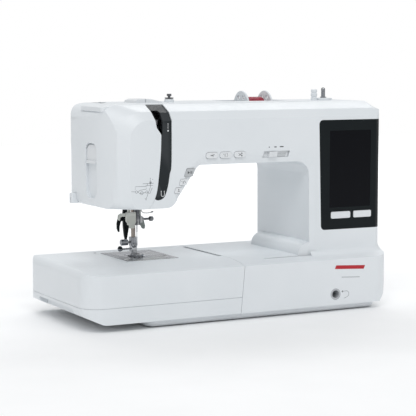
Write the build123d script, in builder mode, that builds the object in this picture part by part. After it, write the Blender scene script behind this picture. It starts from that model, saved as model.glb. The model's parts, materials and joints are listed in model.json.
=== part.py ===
from build123d import *
import os
from math import atan2, cos, degrees, hypot, pi, sin

os.makedirs("parts", exist_ok=True)

# An embroidery machine with a free arm, a slide-off extension table and a colour screen.
# X runs along the arm (plus is the handwheel end), minus Y faces the operator, Z is up.

# ---------- housing ----------
WALL = 3.0
SKIN = 1.6
ARM_FRONT = -80.0
ARM_REAR = 68.0
ARM_LEFT = -195.5
ARM_RIGHT = 232.0
DECK_Z = 291.0
ARM_UNDER_Z = 210.0
HEAD_UNDER_Z = 154.8
COLUMN_LEFT = 111.0
COLUMN_FOOT_Z = 60.0
BEVEL_LOW_Z = 270.5
BEVEL_MID_Y = -71.5
BEVEL_MID_Z = 281.5
BEVEL_TOP_Y = -52.0
HEAD_FRONT_X = -163.0
HEAD_SIDE_X = -177.0
HEAD_TAPER = 4.0
HEAD_TAPER_Z = 200.0
THROAT_R = 20.0
FRONT_CORNER_R = 16.5
FRONT_CORNER_Y = -64.0
BED_FRONT = -104.0
BED_REAR = 104.0
BED_Z = 80.0
CROWN_R = 246.0
BED_BOTTOM_Z = 9.6
CROWN_Y = -50.0
SEAM_TOP_X = -4.4
SEAM_BOTTOM_X = -11.0
LEDGE_R = 11.0
FOOT_R = 18.0
# ---------- base ----------
TRAY_LEFT = -147.0
TRAY_RIGHT = 213.0
TRAY_FRONT = -96.0
TRAY_REAR = 96.0
TRAY_Z = 1.5
# ---------- free arm and extension table ----------
FREE_LEFT = -150.0
FREE_FRONT = -38.0
FREE_REAR = 74.0
FREE_BOTTOM_Z = 34.0
FREE_WALL = 2.2
TABLE_LEFT = -237.0
TABLE_CORNER_R = 27.0
TABLE_GAP = 0.5
TABLE_WALL = 2.5
TABLE_SPLIT_Z = 32.0
COVER_GAP = 0.3
# ---------- mechanism ----------
SHAFT_Y = 10.0
SHAFT_Z = 235.0
SHAFT_R = 4.5
LOWER_Y = 3.5
LOWER_Z = 44.0
LOWER_R = 4.0
NEEDLE_X = -112.0
NEEDLE_Y = 10.0
PRESSER_Y = 22.0
RUN = 0.05
CRANK_R = 14.0
DRIVE_Z = 209.0
HOOK_Y = -13.0
BELT_X = 118.0
MOTOR_Y = 40.0
MOTOR_Z = 110.0
MOTOR_BELT_X = 203.0
WHEEL_R = 29.0
WHEEL_POCKET_R = 31.5
WHEEL_POCKET_X = 218.9
# ---------- top deck ----------
SPOOL_Y = 25.0
SPOOL_Z = 283.5
CAP_R = 22.0
WINDER_X = 181.5
# ---------- sewing field ----------
PLATE_LEFT = -144.0
PLATE_RIGHT = -66.0
PLATE_FRONT = -29.0
PLATE_REAR = 65.0
PLATE_TOP_Z = 80.2
PLATE_UNDER_Z = 78.5


def corner(sketch, across, along):
    """The corner of a sketch nearest to a spot given in the sketch's own two directions."""
    return sketch.vertices().sort_by_distance((across, along, 0.0))[0]


def block(x0, x1, y0, y1, z0, z1):
    """A plain rectangular block between six limits."""
    with BuildPart() as made:
        with BuildSketch(Plane.XY.offset(z0)):
            with Locations(((x0 + x1) / 2, (y0 + y1) / 2)):
                Rectangle(x1 - x0, y1 - y0)
        extrude(amount=z1 - z0)
    return made.part


def soft_block(x0, x1, y0, y1, z0, z1, radius):
    """A block with rounded upright corners."""
    with BuildPart() as made:
        with BuildSketch(Plane.XY.offset(z0)):
            with Locations(((x0 + x1) / 2, (y0 + y1) / 2)):
                RectangleRounded(x1 - x0, y1 - y0, radius)
        extrude(amount=z1 - z0)
    return made.part


def rod_x(x0, x1, y, z, radius):
    """A round bar lying along X."""
    with BuildPart() as made:
        with BuildSketch(Plane.YZ.offset(x0)):
            with Locations((y, z)):
                Circle(radius)
        extrude(amount=x1 - x0)
    return made.part


def rod_z(x, y, z0, z1, radius):
    """A round bar standing upright."""
    with BuildPart() as made:
        with BuildSketch(Plane.XY.offset(z0)):
            with Locations((x, y)):
                Circle(radius)
        extrude(amount=z1 - z0)
    return made.part


def rod_y(x, z, y0, y1, radius):
    """A round bar lying front to back."""
    with BuildPart() as made:
        with BuildSketch(Plane.XZ.offset(-y1)):
            with Locations((x, z)):
                Circle(radius)
        extrude(amount=y1 - y0)
    return made.part


def arm_outline(y, left, top, shoulder, drop, inset):
    """Front outline of arm, head and column at one depth; the drop slopes its right top edge."""
    with BuildSketch(Plane.XZ.offset(-y)) as face:
        with BuildLine():
            Polyline(
                (left + HEAD_TAPER, HEAD_UNDER_Z),
                (-102.3, HEAD_UNDER_Z),
                (-62.0, ARM_UNDER_Z),
                (COLUMN_LEFT, ARM_UNDER_Z),
                (COLUMN_LEFT + 1.0, COLUMN_FOOT_Z),
                (ARM_RIGHT + 1.0, COLUMN_FOOT_Z),
                (ARM_RIGHT + 1.0, top - drop),
                (ARM_RIGHT - 13.0, top),
                (left, top),
                (left, HEAD_TAPER_Z),
                close=True,
            )
        make_face()
        fillet(corner(face, left, top), shoulder)
        fillet(corner(face, left + HEAD_TAPER, HEAD_UNDER_Z), 11.0)
        fillet(corner(face, -102.3, HEAD_UNDER_Z), 16.0)
        fillet(corner(face, -62.0, ARM_UNDER_Z), 9.0)
        fillet(corner(face, COLUMN_LEFT, ARM_UNDER_Z), THROAT_R)
        if inset > 0:
            offset(amount=-inset, mode=Mode.REPLACE)
    return face.sketch


def arm_solid(inset):
    """Arm, head and column as one solid, every face moved in by the inset."""
    front = ARM_FRONT + inset
    mid = BEVEL_MID_Y + inset
    back = BEVEL_TOP_Y + inset
    with BuildSketch(Plane.YZ) as side:
        with Locations(((ARM_FRONT + ARM_REAR) / 2, (COLUMN_FOOT_Z + DECK_Z + 1.0) / 2)):
            Rectangle(ARM_REAR - ARM_FRONT, DECK_Z + 1.0 - COLUMN_FOOT_Z)
        fillet(corner(side, ARM_REAR, DECK_Z + 1.0), 16.0)
        if inset > 0:
            offset(amount=-inset, mode=Mode.REPLACE)
    left = ARM_LEFT + inset
    head_side_x = HEAD_SIDE_X + inset
    head_front_x = HEAD_FRONT_X - 10.0 + inset
    right = ARM_RIGHT - inset
    rear = ARM_REAR - inset
    corner_x = ARM_RIGHT - FRONT_CORNER_R
    corner_r = FRONT_CORNER_R - inset
    with BuildSketch(Plane.XY) as plan:
        with BuildLine():
            Polyline(
                (head_front_x, ARM_FRONT - 5.0),
                (corner_x - 1.0, ARM_FRONT - 5.0),
                (corner_x, FRONT_CORNER_Y - corner_r),
            )
            ThreePointArc(
                (corner_x, FRONT_CORNER_Y - corner_r),
                (corner_x + corner_r * sin(pi / 4), FRONT_CORNER_Y - corner_r * sin(pi / 4)),
                (right, FRONT_CORNER_Y),
            )
            Polyline((right, FRONT_CORNER_Y), (right, rear), (left, rear), (left, 34.0))
            Spline(
                (left, 34.0),
                (left + 0.8, 0.0),
                (head_side_x - 11.0, -46.0),
                (head_side_x, BEVEL_MID_Y - 0.5),
                tangents=((0.0, -1.0), (0.5, -1.0)),
            )
            Polyline((head_side_x, BEVEL_MID_Y - 0.5), (head_front_x, ARM_FRONT - 5.0))
        make_face()
        fillet(corner(plan, left, rear), 34.0 - inset)
        fillet(corner(plan, right, rear), 20.0 - inset)
    panel = arm_outline(front, HEAD_FRONT_X, BEVEL_LOW_Z, 26.0, 0.5, inset)
    ring = arm_outline(mid, HEAD_SIDE_X, BEVEL_MID_Z, 34.0, 3.0, inset)
    deck = arm_outline(back, ARM_LEFT - 1.0, DECK_Z, 30.0, 9.0, inset)
    with BuildPart() as solid:
        add(loft([panel, ring], ruled=True, mode=Mode.PRIVATE))
        add(loft([ring, deck], ruled=True, mode=Mode.PRIVATE))
        extrude(deck, amount=-(ARM_REAR - BEVEL_TOP_Y))
        extrude(side.sketch, amount=400.0, both=True, mode=Mode.INTERSECT)
        extrude(plan.sketch, amount=400.0, mode=Mode.INTERSECT)
    return solid.part


def bed_profile(inset, left, right, bottom, top_r):
    """Side section of bed and table: flat top with a crowned front edge."""
    front = BED_FRONT - 3.0
    edge_z = BED_Z - CROWN_R + (CROWN_R**2 - (CROWN_Y - front) ** 2) ** 0.5
    with BuildSketch(Plane.YZ.offset(left)) as side:
        with BuildLine():
            TangentArc((CROWN_Y, BED_Z), (front, edge_z), tangent=(-1.0, 0.0))
            Polyline(
                (front, edge_z),
                (front, bottom),
                (BED_REAR, bottom),
                (BED_REAR, BED_Z),
                (CROWN_Y, BED_Z),
            )
        make_face()
        fillet(corner(side, BED_REAR, BED_Z), top_r)
        if inset > 0:
            offset(amount=-inset, mode=Mode.REPLACE)
    with BuildPart() as solid:
        extrude(side.sketch, amount=right - left)
    return solid.part


def bed_solid(inset):
    """Fixed bed to the right of the extension table."""
    with BuildSketch(Plane.XZ) as face:
        with BuildLine():
            Polyline(
                (SEAM_BOTTOM_X, BED_BOTTOM_Z),
                (SEAM_TOP_X + 0.3, BED_Z + 3.0),
                (ARM_RIGHT, BED_Z + 3.0),
                (ARM_RIGHT, 66.0),
                (ARM_RIGHT - 8.0, 21.0),
                (TRAY_RIGHT + 1.0, BED_BOTTOM_Z),
                close=True,
            )
        make_face()
        fillet(corner(face, ARM_RIGHT, 66.0), 60.0)
        fillet(corner(face, ARM_RIGHT - 8.0, 21.0), 10.0)
        if inset > 0:
            offset(amount=-inset, mode=Mode.REPLACE)
    with BuildSketch(Plane.XY) as plan:
        with Locations(((SEAM_BOTTOM_X + ARM_RIGHT) / 2, 0.0)):
            Rectangle(ARM_RIGHT - SEAM_BOTTOM_X, BED_REAR - BED_FRONT)
        fillet(corner(plan, ARM_RIGHT, BED_FRONT), 26.0)
        fillet(corner(plan, ARM_RIGHT, BED_REAR), 26.0)
        if inset > 0:
            offset(amount=-inset, mode=Mode.REPLACE)
    section = bed_profile(inset, SEAM_BOTTOM_X - 20.0, ARM_RIGHT + 20.0, BED_BOTTOM_Z, 14.0)
    with BuildPart() as solid:
        extrude(face.sketch, amount=150.0, both=True)
        extrude(plan.sketch, amount=200.0, mode=Mode.INTERSECT)
        add(section, mode=Mode.INTERSECT)
    return solid.part


def table_solid(inset):
    """Extension table block around the free arm, before the notch is taken out."""
    with BuildSketch(Plane.XZ) as face:
        with BuildLine():
            Polyline(
                (SEAM_BOTTOM_X - TABLE_GAP, BED_BOTTOM_Z + TABLE_GAP),
                (SEAM_TOP_X - TABLE_GAP + 0.1, BED_Z + 1.0),
                (TABLE_LEFT, BED_Z + 1.0),
                (TABLE_LEFT, 22.0),
                (TABLE_LEFT + 26.0, BED_BOTTOM_Z + TABLE_GAP),
                close=True,
            )
        make_face()
        fillet(corner(face, TABLE_LEFT, BED_Z + 1.0), 14.0)
        fillet(corner(face, TABLE_LEFT, 22.0), 10.0)
        fillet(corner(face, TABLE_LEFT + 26.0, BED_BOTTOM_Z + TABLE_GAP), 20.0)
        if inset > 0:
            offset(amount=-inset, mode=Mode.REPLACE)
    with BuildSketch(Plane.XY) as plan:
        with Locations((TABLE_LEFT / 2, 0.0)):
            Rectangle(-TABLE_LEFT, BED_REAR - BED_FRONT)
        fillet(plan.vertices().group_by(Axis.X)[0], TABLE_CORNER_R)
        if inset > 0:
            offset(amount=-inset, mode=Mode.REPLACE)
    section = bed_profile(inset, TABLE_LEFT - 20.0, 20.0, BED_BOTTOM_Z + TABLE_GAP, 14.0)
    with BuildPart() as solid:
        extrude(face.sketch, amount=150.0, both=True)
        extrude(plan.sketch, amount=200.0, mode=Mode.INTERSECT)
        add(section, mode=Mode.INTERSECT)
    return solid.part


def column_foot():
    """Concave flare that carries the column's left side down into the bed."""
    sections = []
    for y, base_z in ((ARM_REAR - 12.0, BED_Z), (CROWN_Y, BED_Z), (ARM_FRONT, BED_Z - 1.9)):
        with BuildSketch(Plane.XZ.offset(-y)) as section:
            with BuildLine():
                Polyline(
                    (COLUMN_LEFT + 0.7, base_z + FOOT_R),
                    (COLUMN_LEFT + 4.0, base_z + FOOT_R),
                    (COLUMN_LEFT + 4.0, base_z - 4.0),
                    (COLUMN_LEFT + 0.9 - FOOT_R, base_z - 4.0),
                    (COLUMN_LEFT + 0.9 - FOOT_R, base_z),
                )
                RadiusArc(
                    (COLUMN_LEFT + 0.9 - FOOT_R, base_z),
                    (COLUMN_LEFT + 0.7, base_z + FOOT_R),
                    FOOT_R,
                )
            make_face()
        sections.append(section.sketch)
    with BuildPart() as made:
        loft(sections, ruled=True)
    return made.part


# ---------- housing solids that several covers share ----------
# Plane lying on the head's left side, where the slider recess is sunk in.
RECESS_WIDE = 28.0
RECESS_HIGH = 73.0
RECESS_DEEP = 5.0
head_side = Plane(origin=(-193.0, -20.8, 203.5), x_dir=(0.126, -0.992, 0.0), z_dir=(-0.992, -0.126, 0.0))

with BuildPart() as outer:
    add(arm_solid(0.0))
    add(bed_solid(0.0))
    ledge_z = BED_Z - CROWN_R + (CROWN_R**2 - (CROWN_Y - ARM_FRONT) ** 2) ** 0.5
    ledge = outer.edges().filter_by(Axis.X).sort_by_distance((165.0, ARM_FRONT, ledge_z))[0]
    bend_spot = (ARM_RIGHT - 5.0, ARM_FRONT + 7.0, BED_Z - 1.0)
    ledge_bend = outer.edges().filter_by(GeomType.BSPLINE).sort_by_distance(bend_spot)[0]
    fillet([ledge, ledge_bend], LEDGE_R)
    add(column_foot())

# Hollow inside the covers, one wall thickness in, less the pocket behind the slider recess.
with BuildPart() as inner:
    add(arm_solid(WALL))
    add(bed_solid(WALL))
    passage = (COLUMN_LEFT + 5.0, ARM_RIGHT - WALL - 5.0, ARM_FRONT + WALL, ARM_REAR - WALL - 8.0)
    add(block(*passage, 50.0, 90.0))
    with BuildSketch(head_side.offset(4.0)):
        RectangleRounded(RECESS_WIDE + 6.0, RECESS_HIGH + 6.0, 13.0)
    extrude(amount=-RECESS_DEEP - 6.5, mode=Mode.SUBTRACT)
    add(
        rod_x(WHEEL_POCKET_X - WALL, ARM_RIGHT + 5.0, SHAFT_Y, SHAFT_Z, WHEEL_POCKET_R + WALL),
        mode=Mode.SUBTRACT,
    )

# Shell of the whole body, with the slider recess sunk into the head's left side.
with BuildPart() as shell:
    add(outer.part)
    add(inner.part, mode=Mode.SUBTRACT)
    with BuildSketch(head_side.offset(4.0)):
        RectangleRounded(RECESS_WIDE, RECESS_HIGH, 10.0)
    extrude(amount=-RECESS_DEEP - 4.0, mode=Mode.SUBTRACT)
    add(rod_x(WHEEL_POCKET_X, ARM_RIGHT + 5.0, SHAFT_Y, SHAFT_Z, WHEEL_POCKET_R), mode=Mode.SUBTRACT)

# Left edge of the threading slot, carried on round the head as the face cover's edge.
with BuildPart() as face_region:
    with BuildSketch(Plane.XZ.offset(-120.0)):
        with BuildLine():
            Polyline((-137.0, 140.0), (-137.0, 154.5))
            Spline((-137.0, 154.5), (-126.8, 169.0), (-121.6, 195.0), (-118.6, 225.0), (-117.7, 252.0))
            Polyline(
                (-117.7, 252.0),
                (-124.2, 261.0),
                (-128.5, 282.0),
                (-128.5, 300.0),
                (-220.0, 300.0),
                (-220.0, 140.0),
                (-137.0, 140.0),
            )
        make_face()
    extrude(amount=240.0)

# Dark trim panel between the face cover and the front cover.
with BuildPart() as trim_region:
    with BuildSketch(Plane.XZ.offset(44.0)):
        with BuildLine():
            Polyline((-102.6, 300.0), (-140.0, 300.0), (-140.0, 169.0), (-128.4, 169.0))
            ThreePointArc((-128.4, 169.0), (-125.4, 166.4), (-121.0, 165.9))
            Spline(
                (-121.0, 165.9),
                (-111.2, 174.0),
                (-105.3, 200.0),
                (-102.6, 240.0),
                tangents=((1.0, 0.1), (0.0, 1.0)),
            )
            Line((-102.6, 240.0), (-102.6, 300.0))
        make_face()
    extrude(amount=50.0)

# Everything ahead of the seam between front and rear covers.
with BuildPart() as front_region:
    with BuildSketch(Plane.YZ.offset(-230.0)):
        with BuildLine():
            Polyline((-150.0, 0.0), (20.0, 0.0), (20.0, 89.0))
            Spline((20.0, 89.0), (9.0, 133.0), (9.0, 177.0), (26.0, 200.0))
            Polyline((26.0, 200.0), (26.0, 320.0), (-150.0, 320.0), (-150.0, 0.0))
        make_face()
    extrude(amount=480.0)

# Screen panel outline: rounded at the left, running off round the right corner.
with BuildPart() as bezel_region:
    with BuildSketch(Plane.XZ.offset(66.0)) as outline:
        with BuildLine():
            Polyline((125.3, 266.2), (129.3, 112.6), (260.0, 112.0), (260.0, 266.0), (125.3, 266.2))
        make_face()
        fillet(corner(outline, 125.3, 266.2), 6.0)
        fillet(corner(outline, 129.3, 112.6), 6.0)
    extrude(amount=30.0)

# Shallow sloping band that carries the keys along the arm's lower front edge.
BAND_TOP = (
    (-98.6, 170.0),
    (-82.5, 202.0),
    (-74.4, 213.4),
    (-61.0, 223.6),
    (-46.0, 227.2),
    (98.0, 227.2),
    (114.0, 222.0),
    (122.0, 210.0),
    (124.0, 196.0),
    (124.0, 70.0),
)
BAND_LOW = (
    (-92.0, 168.0),
    (-75.0, 190.5),
    (-68.0, 200.0),
    (-60.0, 209.0),
    (-46.0, 210.0),
    (93.0, 210.0),
    (103.0, 207.0),
    (109.0, 200.0),
    (COLUMN_LEFT, 190.0),
    (COLUMN_LEFT, 70.0),
)
BAND_DEEP = 3.0
with BuildPart() as band:
    with BuildSketch(Plane.XZ.offset(-ARM_FRONT + 0.6)):
        with BuildLine():
            Polyline(*BAND_TOP, (60.0, 70.0), (-70.0, 120.0), close=True)
        make_face()
    with BuildSketch(Plane.XZ.offset(-ARM_FRONT - BAND_DEEP)):
        with BuildLine():
            Polyline(*BAND_LOW, (60.0, 70.0), (-70.0, 120.0), close=True)
        make_face()
    loft(ruled=True)

# Deck slab with its tongue over the left shoulder.
SLAB_FRONT = -50.0
SLAB_REAR = 56.0
SLAB_RIGHT = 128.0
TONGUE_REAR = 21.0
SLAB_TOP = 291.6
with BuildPart() as slab:
    with BuildSketch(Plane.XZ.offset(-SLAB_REAR)):
        with BuildLine():
            Polyline(
                (-190.0, 281.8),
                (-190.0, 287.8),
                (-150.0, SLAB_TOP),
                (SLAB_RIGHT, SLAB_TOP),
                (SLAB_RIGHT, 287.6),
                (-146.0, 287.6),
                close=True,
            )
        make_face()
    extrude(amount=SLAB_REAR - SLAB_FRONT)
    add(block(-200.0, -148.0, TONGUE_REAR, SLAB_REAR + 1.0, 270.0, 300.0), mode=Mode.SUBTRACT)
    tongue = slab.edges().filter_by(Axis.Z).group_by(Axis.X)[0]
    fillet(tongue, 4.0)


# ---------- small fittings ----------
HANDLE_LUGS = (-24.0, 200.0)
HANDLE_Y = 76.0
HANDLE_Z = 276.0
STOPPER_X = 166.0
KNEE_X = 139.0
KNEE_Z = 25.0
KNEE_R = 5.5
INLET = (-45.0, -15.0, 88.0, 110.0)
INLET_BACK = ARM_RIGHT - 18.5
SWITCH = (-42.0, -18.0, 120.0, 138.0)
KEY_FRONT = -80.7
KEY_GAP = 0.4
KEY_FLANGE = 0.8
# name, centre X, centre Z, width, height, lean of each side
KEYS = (
    ("knot_button", -42.9, 222.4, 18.0, 8.3, 0.0),
    ("needle_position_button", -22.0, 222.4, 18.0, 8.3, 0.0),
    ("thread_cut_button", -0.2, 222.4, 18.0, 8.3, 0.0),
    ("start_stop_button", -76.2, 200.9, 12.6, 11.0, 2.4),
    ("reverse_button", -85.2, 188.3, 11.4, 8.0, 1.7),
    ("presser_lift_button", -92.9, 177.6, 10.4, 7.4, 1.6),
)


def soft_block_y(x0, x1, y0, y1, z0, z1, radius):
    """A block whose corners are rounded as seen from the front."""
    with BuildPart() as made:
        with BuildSketch(Plane.XZ.offset(-y1)):
            with Locations(((x0 + x1) / 2, (z0 + z1) / 2)):
                RectangleRounded(x1 - x0, z1 - z0, radius)
        extrude(amount=y1 - y0)
    return made.part


def soft_block_x(x0, x1, y0, y1, z0, z1, radius):
    """A block whose corners are rounded as seen from the end."""
    with BuildPart() as made:
        with BuildSketch(Plane.YZ.offset(x0)):
            with Locations(((y0 + y1) / 2, (z0 + z1) / 2)):
                RectangleRounded(y1 - y0, z1 - z0, radius)
        extrude(amount=x1 - x0)
    return made.part


def key_solid(key, grow, y_front, y_back):
    """A key outline carried from front to back: a pill, or a leaning block on the slope."""
    label, mid_x, mid_z, wide, high, lean = key
    half = wide / 2 + grow
    rise = high / 2 + grow
    with BuildPart() as made:
        with BuildSketch(Plane.XZ.offset(-y_back)) as face:
            with Locations((mid_x, mid_z)):
                if lean > 0:
                    Polygon(
                        (-half - lean, -rise),
                        (half - lean, -rise),
                        (half + lean, rise),
                        (-half + lean, rise),
                        align=None,
                    )
                else:
                    SlotOverall(2 * half, 2 * rise)
            if lean > 0:
                fillet(face.vertices(), 1.5 + grow)
        extrude(amount=y_back - y_front)
    return made.part


def slider_slot(y_front, y_back):
    """Slanted slot in which the speed slider runs."""
    with BuildPart() as made:
        with BuildSketch(Plane.XZ.offset(-y_back)):
            with BuildLine():
                Polyline((35.2, 216.9), (76.4, 216.9), (78.4, 225.5), (37.2, 225.5), close=True)
            make_face()
        extrude(amount=y_back - y_front)
    return made.part


def finish(node, label):
    """Name a piece and write its file."""
    node.part.label = label
    export_step(node.part, "parts/" + label + ".step")


# ---------- base ----------
with BuildPart() as base_tray:
    with BuildSketch(Plane.XY.offset(TRAY_Z)):
        with Locations(((TRAY_LEFT + TRAY_RIGHT) / 2, (TRAY_FRONT + TRAY_REAR) / 2)):
            RectangleRounded(TRAY_RIGHT - TRAY_LEFT, TRAY_REAR - TRAY_FRONT, 14.0)
    extrude(amount=BED_BOTTOM_Z - TRAY_Z)
    chamfer(base_tray.faces().sort_by(Axis.Z)[0].edges(), 3.0)
    add(
        soft_block(-3.0, TRAY_RIGHT - 3.0, TRAY_FRONT + 3.0, TRAY_REAR - 3.0, 4.5, 10.0, 11.0),
        mode=Mode.SUBTRACT,
    )
    add(soft_block(-142.0, -8.0, TRAY_FRONT + 5.0, TRAY_REAR - 5.0, 0.0, 6.6, 8.0), mode=Mode.SUBTRACT)
    for rib_y in (-60.0, -30.0, 0.0, 30.0, 60.0):
        add(block(-142.0, -8.0, rib_y - 1.0, rib_y + 1.0, TRAY_Z + 1.0, 6.6))
    for screw_x, screw_y in ((20.0, -84.0), (185.0, -84.0), (20.0, 84.0), (185.0, 84.0)):
        add(rod_z(screw_x, screw_y, 4.5, BED_BOTTOM_Z, 4.0))
        add(rod_z(screw_x, screw_y, TRAY_Z, BED_BOTTOM_Z, 1.6), mode=Mode.SUBTRACT)
    for foot_x, foot_y in ((-122.0, -76.0), (-122.0, 76.0), (176.0, -76.0), (176.0, 76.0)):
        add(rod_z(foot_x, foot_y, TRAY_Z + 1.0, BED_BOTTOM_Z - 2.0, 9.0))
        add(rod_z(foot_x, foot_y, 0.0, TRAY_Z + 1.0, 8.0), mode=Mode.SUBTRACT)
finish(base_tray, "base_tray")

with BuildPart() as rubber_feet:
    for foot_x, foot_y in ((-122.0, -76.0), (-122.0, 76.0), (176.0, -76.0), (176.0, 76.0)):
        add(rod_z(foot_x, foot_y, 0.0, TRAY_Z + 1.0, 8.0))
    chamfer(rubber_feet.faces().group_by(Axis.Z)[0].edges(), 0.8)
    for foot_x, foot_y in ((-122.0, -76.0), (-122.0, 76.0), (176.0, -76.0), (176.0, 76.0)):
        add(rod_z(foot_x, foot_y, 0.0, 0.7, 3.0), mode=Mode.SUBTRACT)
finish(rubber_feet, "rubber_feet")

# ---------- screen panel, trim and deck ----------
SCREEN = (143.0, 211.0, 143.5, 251.0)
SCREEN_BUTTONS = ((145.4, 177.4), (182.8, 212.4))
with BuildPart() as screen_bezel:
    add(outer.part)
    add(arm_solid(SKIN), mode=Mode.SUBTRACT)
    add(bezel_region.part, mode=Mode.INTERSECT)
    add(block(SCREEN[0], SCREEN[1], -90.0, -60.0, SCREEN[2], SCREEN[3]), mode=Mode.SUBTRACT)
    for key_left, key_right in SCREEN_BUTTONS:
        add(
            soft_block_y(key_left - 0.4, key_right + 0.4, -90.0, -60.0, 127.4, 137.7, 2.4),
            mode=Mode.SUBTRACT,
        )
finish(screen_bezel, "screen_bezel")

with BuildPart() as display:
    add(block(SCREEN[0], SCREEN[1], -79.8, -78.4, SCREEN[2], SCREEN[3]))
    add(block(SCREEN[0] - 2.0, SCREEN[1] - 0.4, -78.4, -76.9, SCREEN[2] - 4.0, SCREEN[3] + 3.0))
    add(block(SCREEN[0] + 2.0, SCREEN[1] - 2.0, -76.9, -72.0, SCREEN[2], SCREEN[3]))
finish(display, "display")

with BuildPart() as thread_slot_trim:
    add(arm_solid(1.0))
    add(arm_solid(WALL), mode=Mode.SUBTRACT)
    add(trim_region.part, mode=Mode.INTERSECT)
    add(face_region.part, mode=Mode.SUBTRACT)
    add(slab.part, mode=Mode.SUBTRACT)
    with BuildSketch(Plane.XZ.offset(50.0)):
        with BuildLine():
            Polyline(
                (-127.0, 283.0),
                (-125.0, 262.0),
                (-118.4, 251.6),
                (-115.8, 251.6),
                (-115.4, 280.0),
                (-117.0, 283.0),
                close=True,
            )
        make_face()
    extrude(amount=60.0, mode=Mode.SUBTRACT)
finish(thread_slot_trim, "thread_slot_trim")

BAY = (22.0, 122.0, -1.0, 52.0, 258.5)
with BuildPart() as top_cover:
    add(slab.part)
    add(soft_block(BAY[0] - 2.5, BAY[1] + 2.5, BAY[2] - 2.5, BAY[3] + 2.5, BAY[4] - 2.5, 289.0, 6.0))
    add(soft_block(BAY[0], BAY[1], BAY[2], BAY[3], BAY[4], 300.0, 4.0), mode=Mode.SUBTRACT)
finish(top_cover, "top_cover")

# ---------- covers ----------
LEVER_WINDOW = (-138.0, -97.6, -9.0, 52.0)
DUCT = (-16.0, -1.0, -34.0, 70.0)
with BuildPart() as front_cover:
    add(shell.part)
    add(front_region.part, mode=Mode.INTERSECT)
    add(face_region.part, mode=Mode.SUBTRACT)
    add(trim_region.part, mode=Mode.SUBTRACT)
    add(slab.part, mode=Mode.SUBTRACT)
    add(band.part, mode=Mode.SUBTRACT)
    add(screen_bezel.part, mode=Mode.SUBTRACT)
    add(block(-170.0, SLAB_RIGHT - 3.0, SLAB_FRONT + 3.0, SLAB_REAR, 284.0, 295.0), mode=Mode.SUBTRACT)
    add(block(*LEVER_WINDOW, 140.0, 165.0), mode=Mode.SUBTRACT)
    add(block(*DUCT, 36.0, 77.0), mode=Mode.SUBTRACT)
    add(block(SCREEN[0], SCREEN[1], -90.0, -70.0, SCREEN[2], SCREEN[3]), mode=Mode.SUBTRACT)
    add(
        block(SCREEN[0] - 2.0, SCREEN[1], -78.6, -70.0, SCREEN[2] - 4.0, SCREEN[3] + 3.0),
        mode=Mode.SUBTRACT,
    )
    for key_left, key_right in SCREEN_BUTTONS:
        add(
            soft_block_y(key_left - 0.4, key_right + 0.4, -90.0, -70.0, 127.4, 137.7, 2.4),
            mode=Mode.SUBTRACT,
        )
    for key in KEYS:
        add(key_solid(key, KEY_GAP, -90.0, -70.0), mode=Mode.SUBTRACT)
        add(key_solid(key, KEY_FLANGE + KEY_GAP, -77.0, -70.0), mode=Mode.SUBTRACT)
    add(slider_slot(-90.0, -70.0), mode=Mode.SUBTRACT)
    add(rod_x(WHEEL_POCKET_X - 8.0, WHEEL_POCKET_X + 3.0, SHAFT_Y, SHAFT_Z, 6.0), mode=Mode.SUBTRACT)
    add(rod_z(WINDER_X, 0.0, 280.0, 300.0, 4.5), mode=Mode.SUBTRACT)
    add(rod_z(STOPPER_X, 0.0, 280.0, 300.0, 2.5), mode=Mode.SUBTRACT)
    add(rod_y(KNEE_X, KNEE_Z, -110.0, -90.0, KNEE_R + 2.5), mode=Mode.SUBTRACT)
    add(block(INLET_BACK, ARM_RIGHT + 5.0, INLET[0], INLET[1], INLET[2], INLET[3]), mode=Mode.SUBTRACT)
    add(block(INLET_BACK, ARM_RIGHT + 5.0, SWITCH[0], SWITCH[1], SWITCH[2], SWITCH[3]), mode=Mode.SUBTRACT)
finish(front_cover, "front_cover")

with BuildPart() as rear_cover:
    add(shell.part)
    add(front_region.part, mode=Mode.SUBTRACT)
    add(face_region.part, mode=Mode.SUBTRACT)
    add(slab.part, mode=Mode.SUBTRACT)
    add(block(-170.0, SLAB_RIGHT - 3.0, 20.0, SLAB_REAR - 3.0, 284.0, 295.0), mode=Mode.SUBTRACT)
    add(block(BAY[0] - 2.5, BAY[1] + 2.5, 20.0, BAY[3] + 2.5, 280.0, 295.0), mode=Mode.SUBTRACT)
    add(block(LEVER_WINDOW[0], LEVER_WINDOW[1], 5.0, LEVER_WINDOW[3], 140.0, 165.0), mode=Mode.SUBTRACT)
    add(block(DUCT[0], DUCT[1], 5.0, DUCT[3], 36.0, 77.0), mode=Mode.SUBTRACT)
    for lug_x in HANDLE_LUGS:
        add(block(lug_x - 3.5, lug_x + 3.5, 62.0, HANDLE_Y, HANDLE_Z - 7.0, HANDLE_Z + 7.0))
        add(rod_x(lug_x - 3.5, lug_x + 3.5, HANDLE_Y, HANDLE_Z, 7.0))
        add(rod_x(lug_x - 5.0, lug_x + 5.0, HANDLE_Y, HANDLE_Z, 3.0 + RUN), mode=Mode.SUBTRACT)
    add(inner.part, mode=Mode.SUBTRACT)
finish(rear_cover, "rear_cover")

with BuildPart() as face_cover:
    add(shell.part)
    add(Pos(-COVER_GAP, 0.0, 0.0) * face_region.part, mode=Mode.INTERSECT)
    add(slab.part, mode=Mode.SUBTRACT)
    add(block(-162.0, -100.0, SLAB_FRONT + 3.0, SLAB_REAR - 3.0, 280.0, 295.0), mode=Mode.SUBTRACT)
    add(block(*LEVER_WINDOW, 140.0, 165.0), mode=Mode.SUBTRACT)
    add(block(ARM_LEFT - 2.0, -190.0, 27.5, 37.5, 156.0, 170.0), mode=Mode.SUBTRACT)
finish(face_cover, "face_cover")

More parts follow.
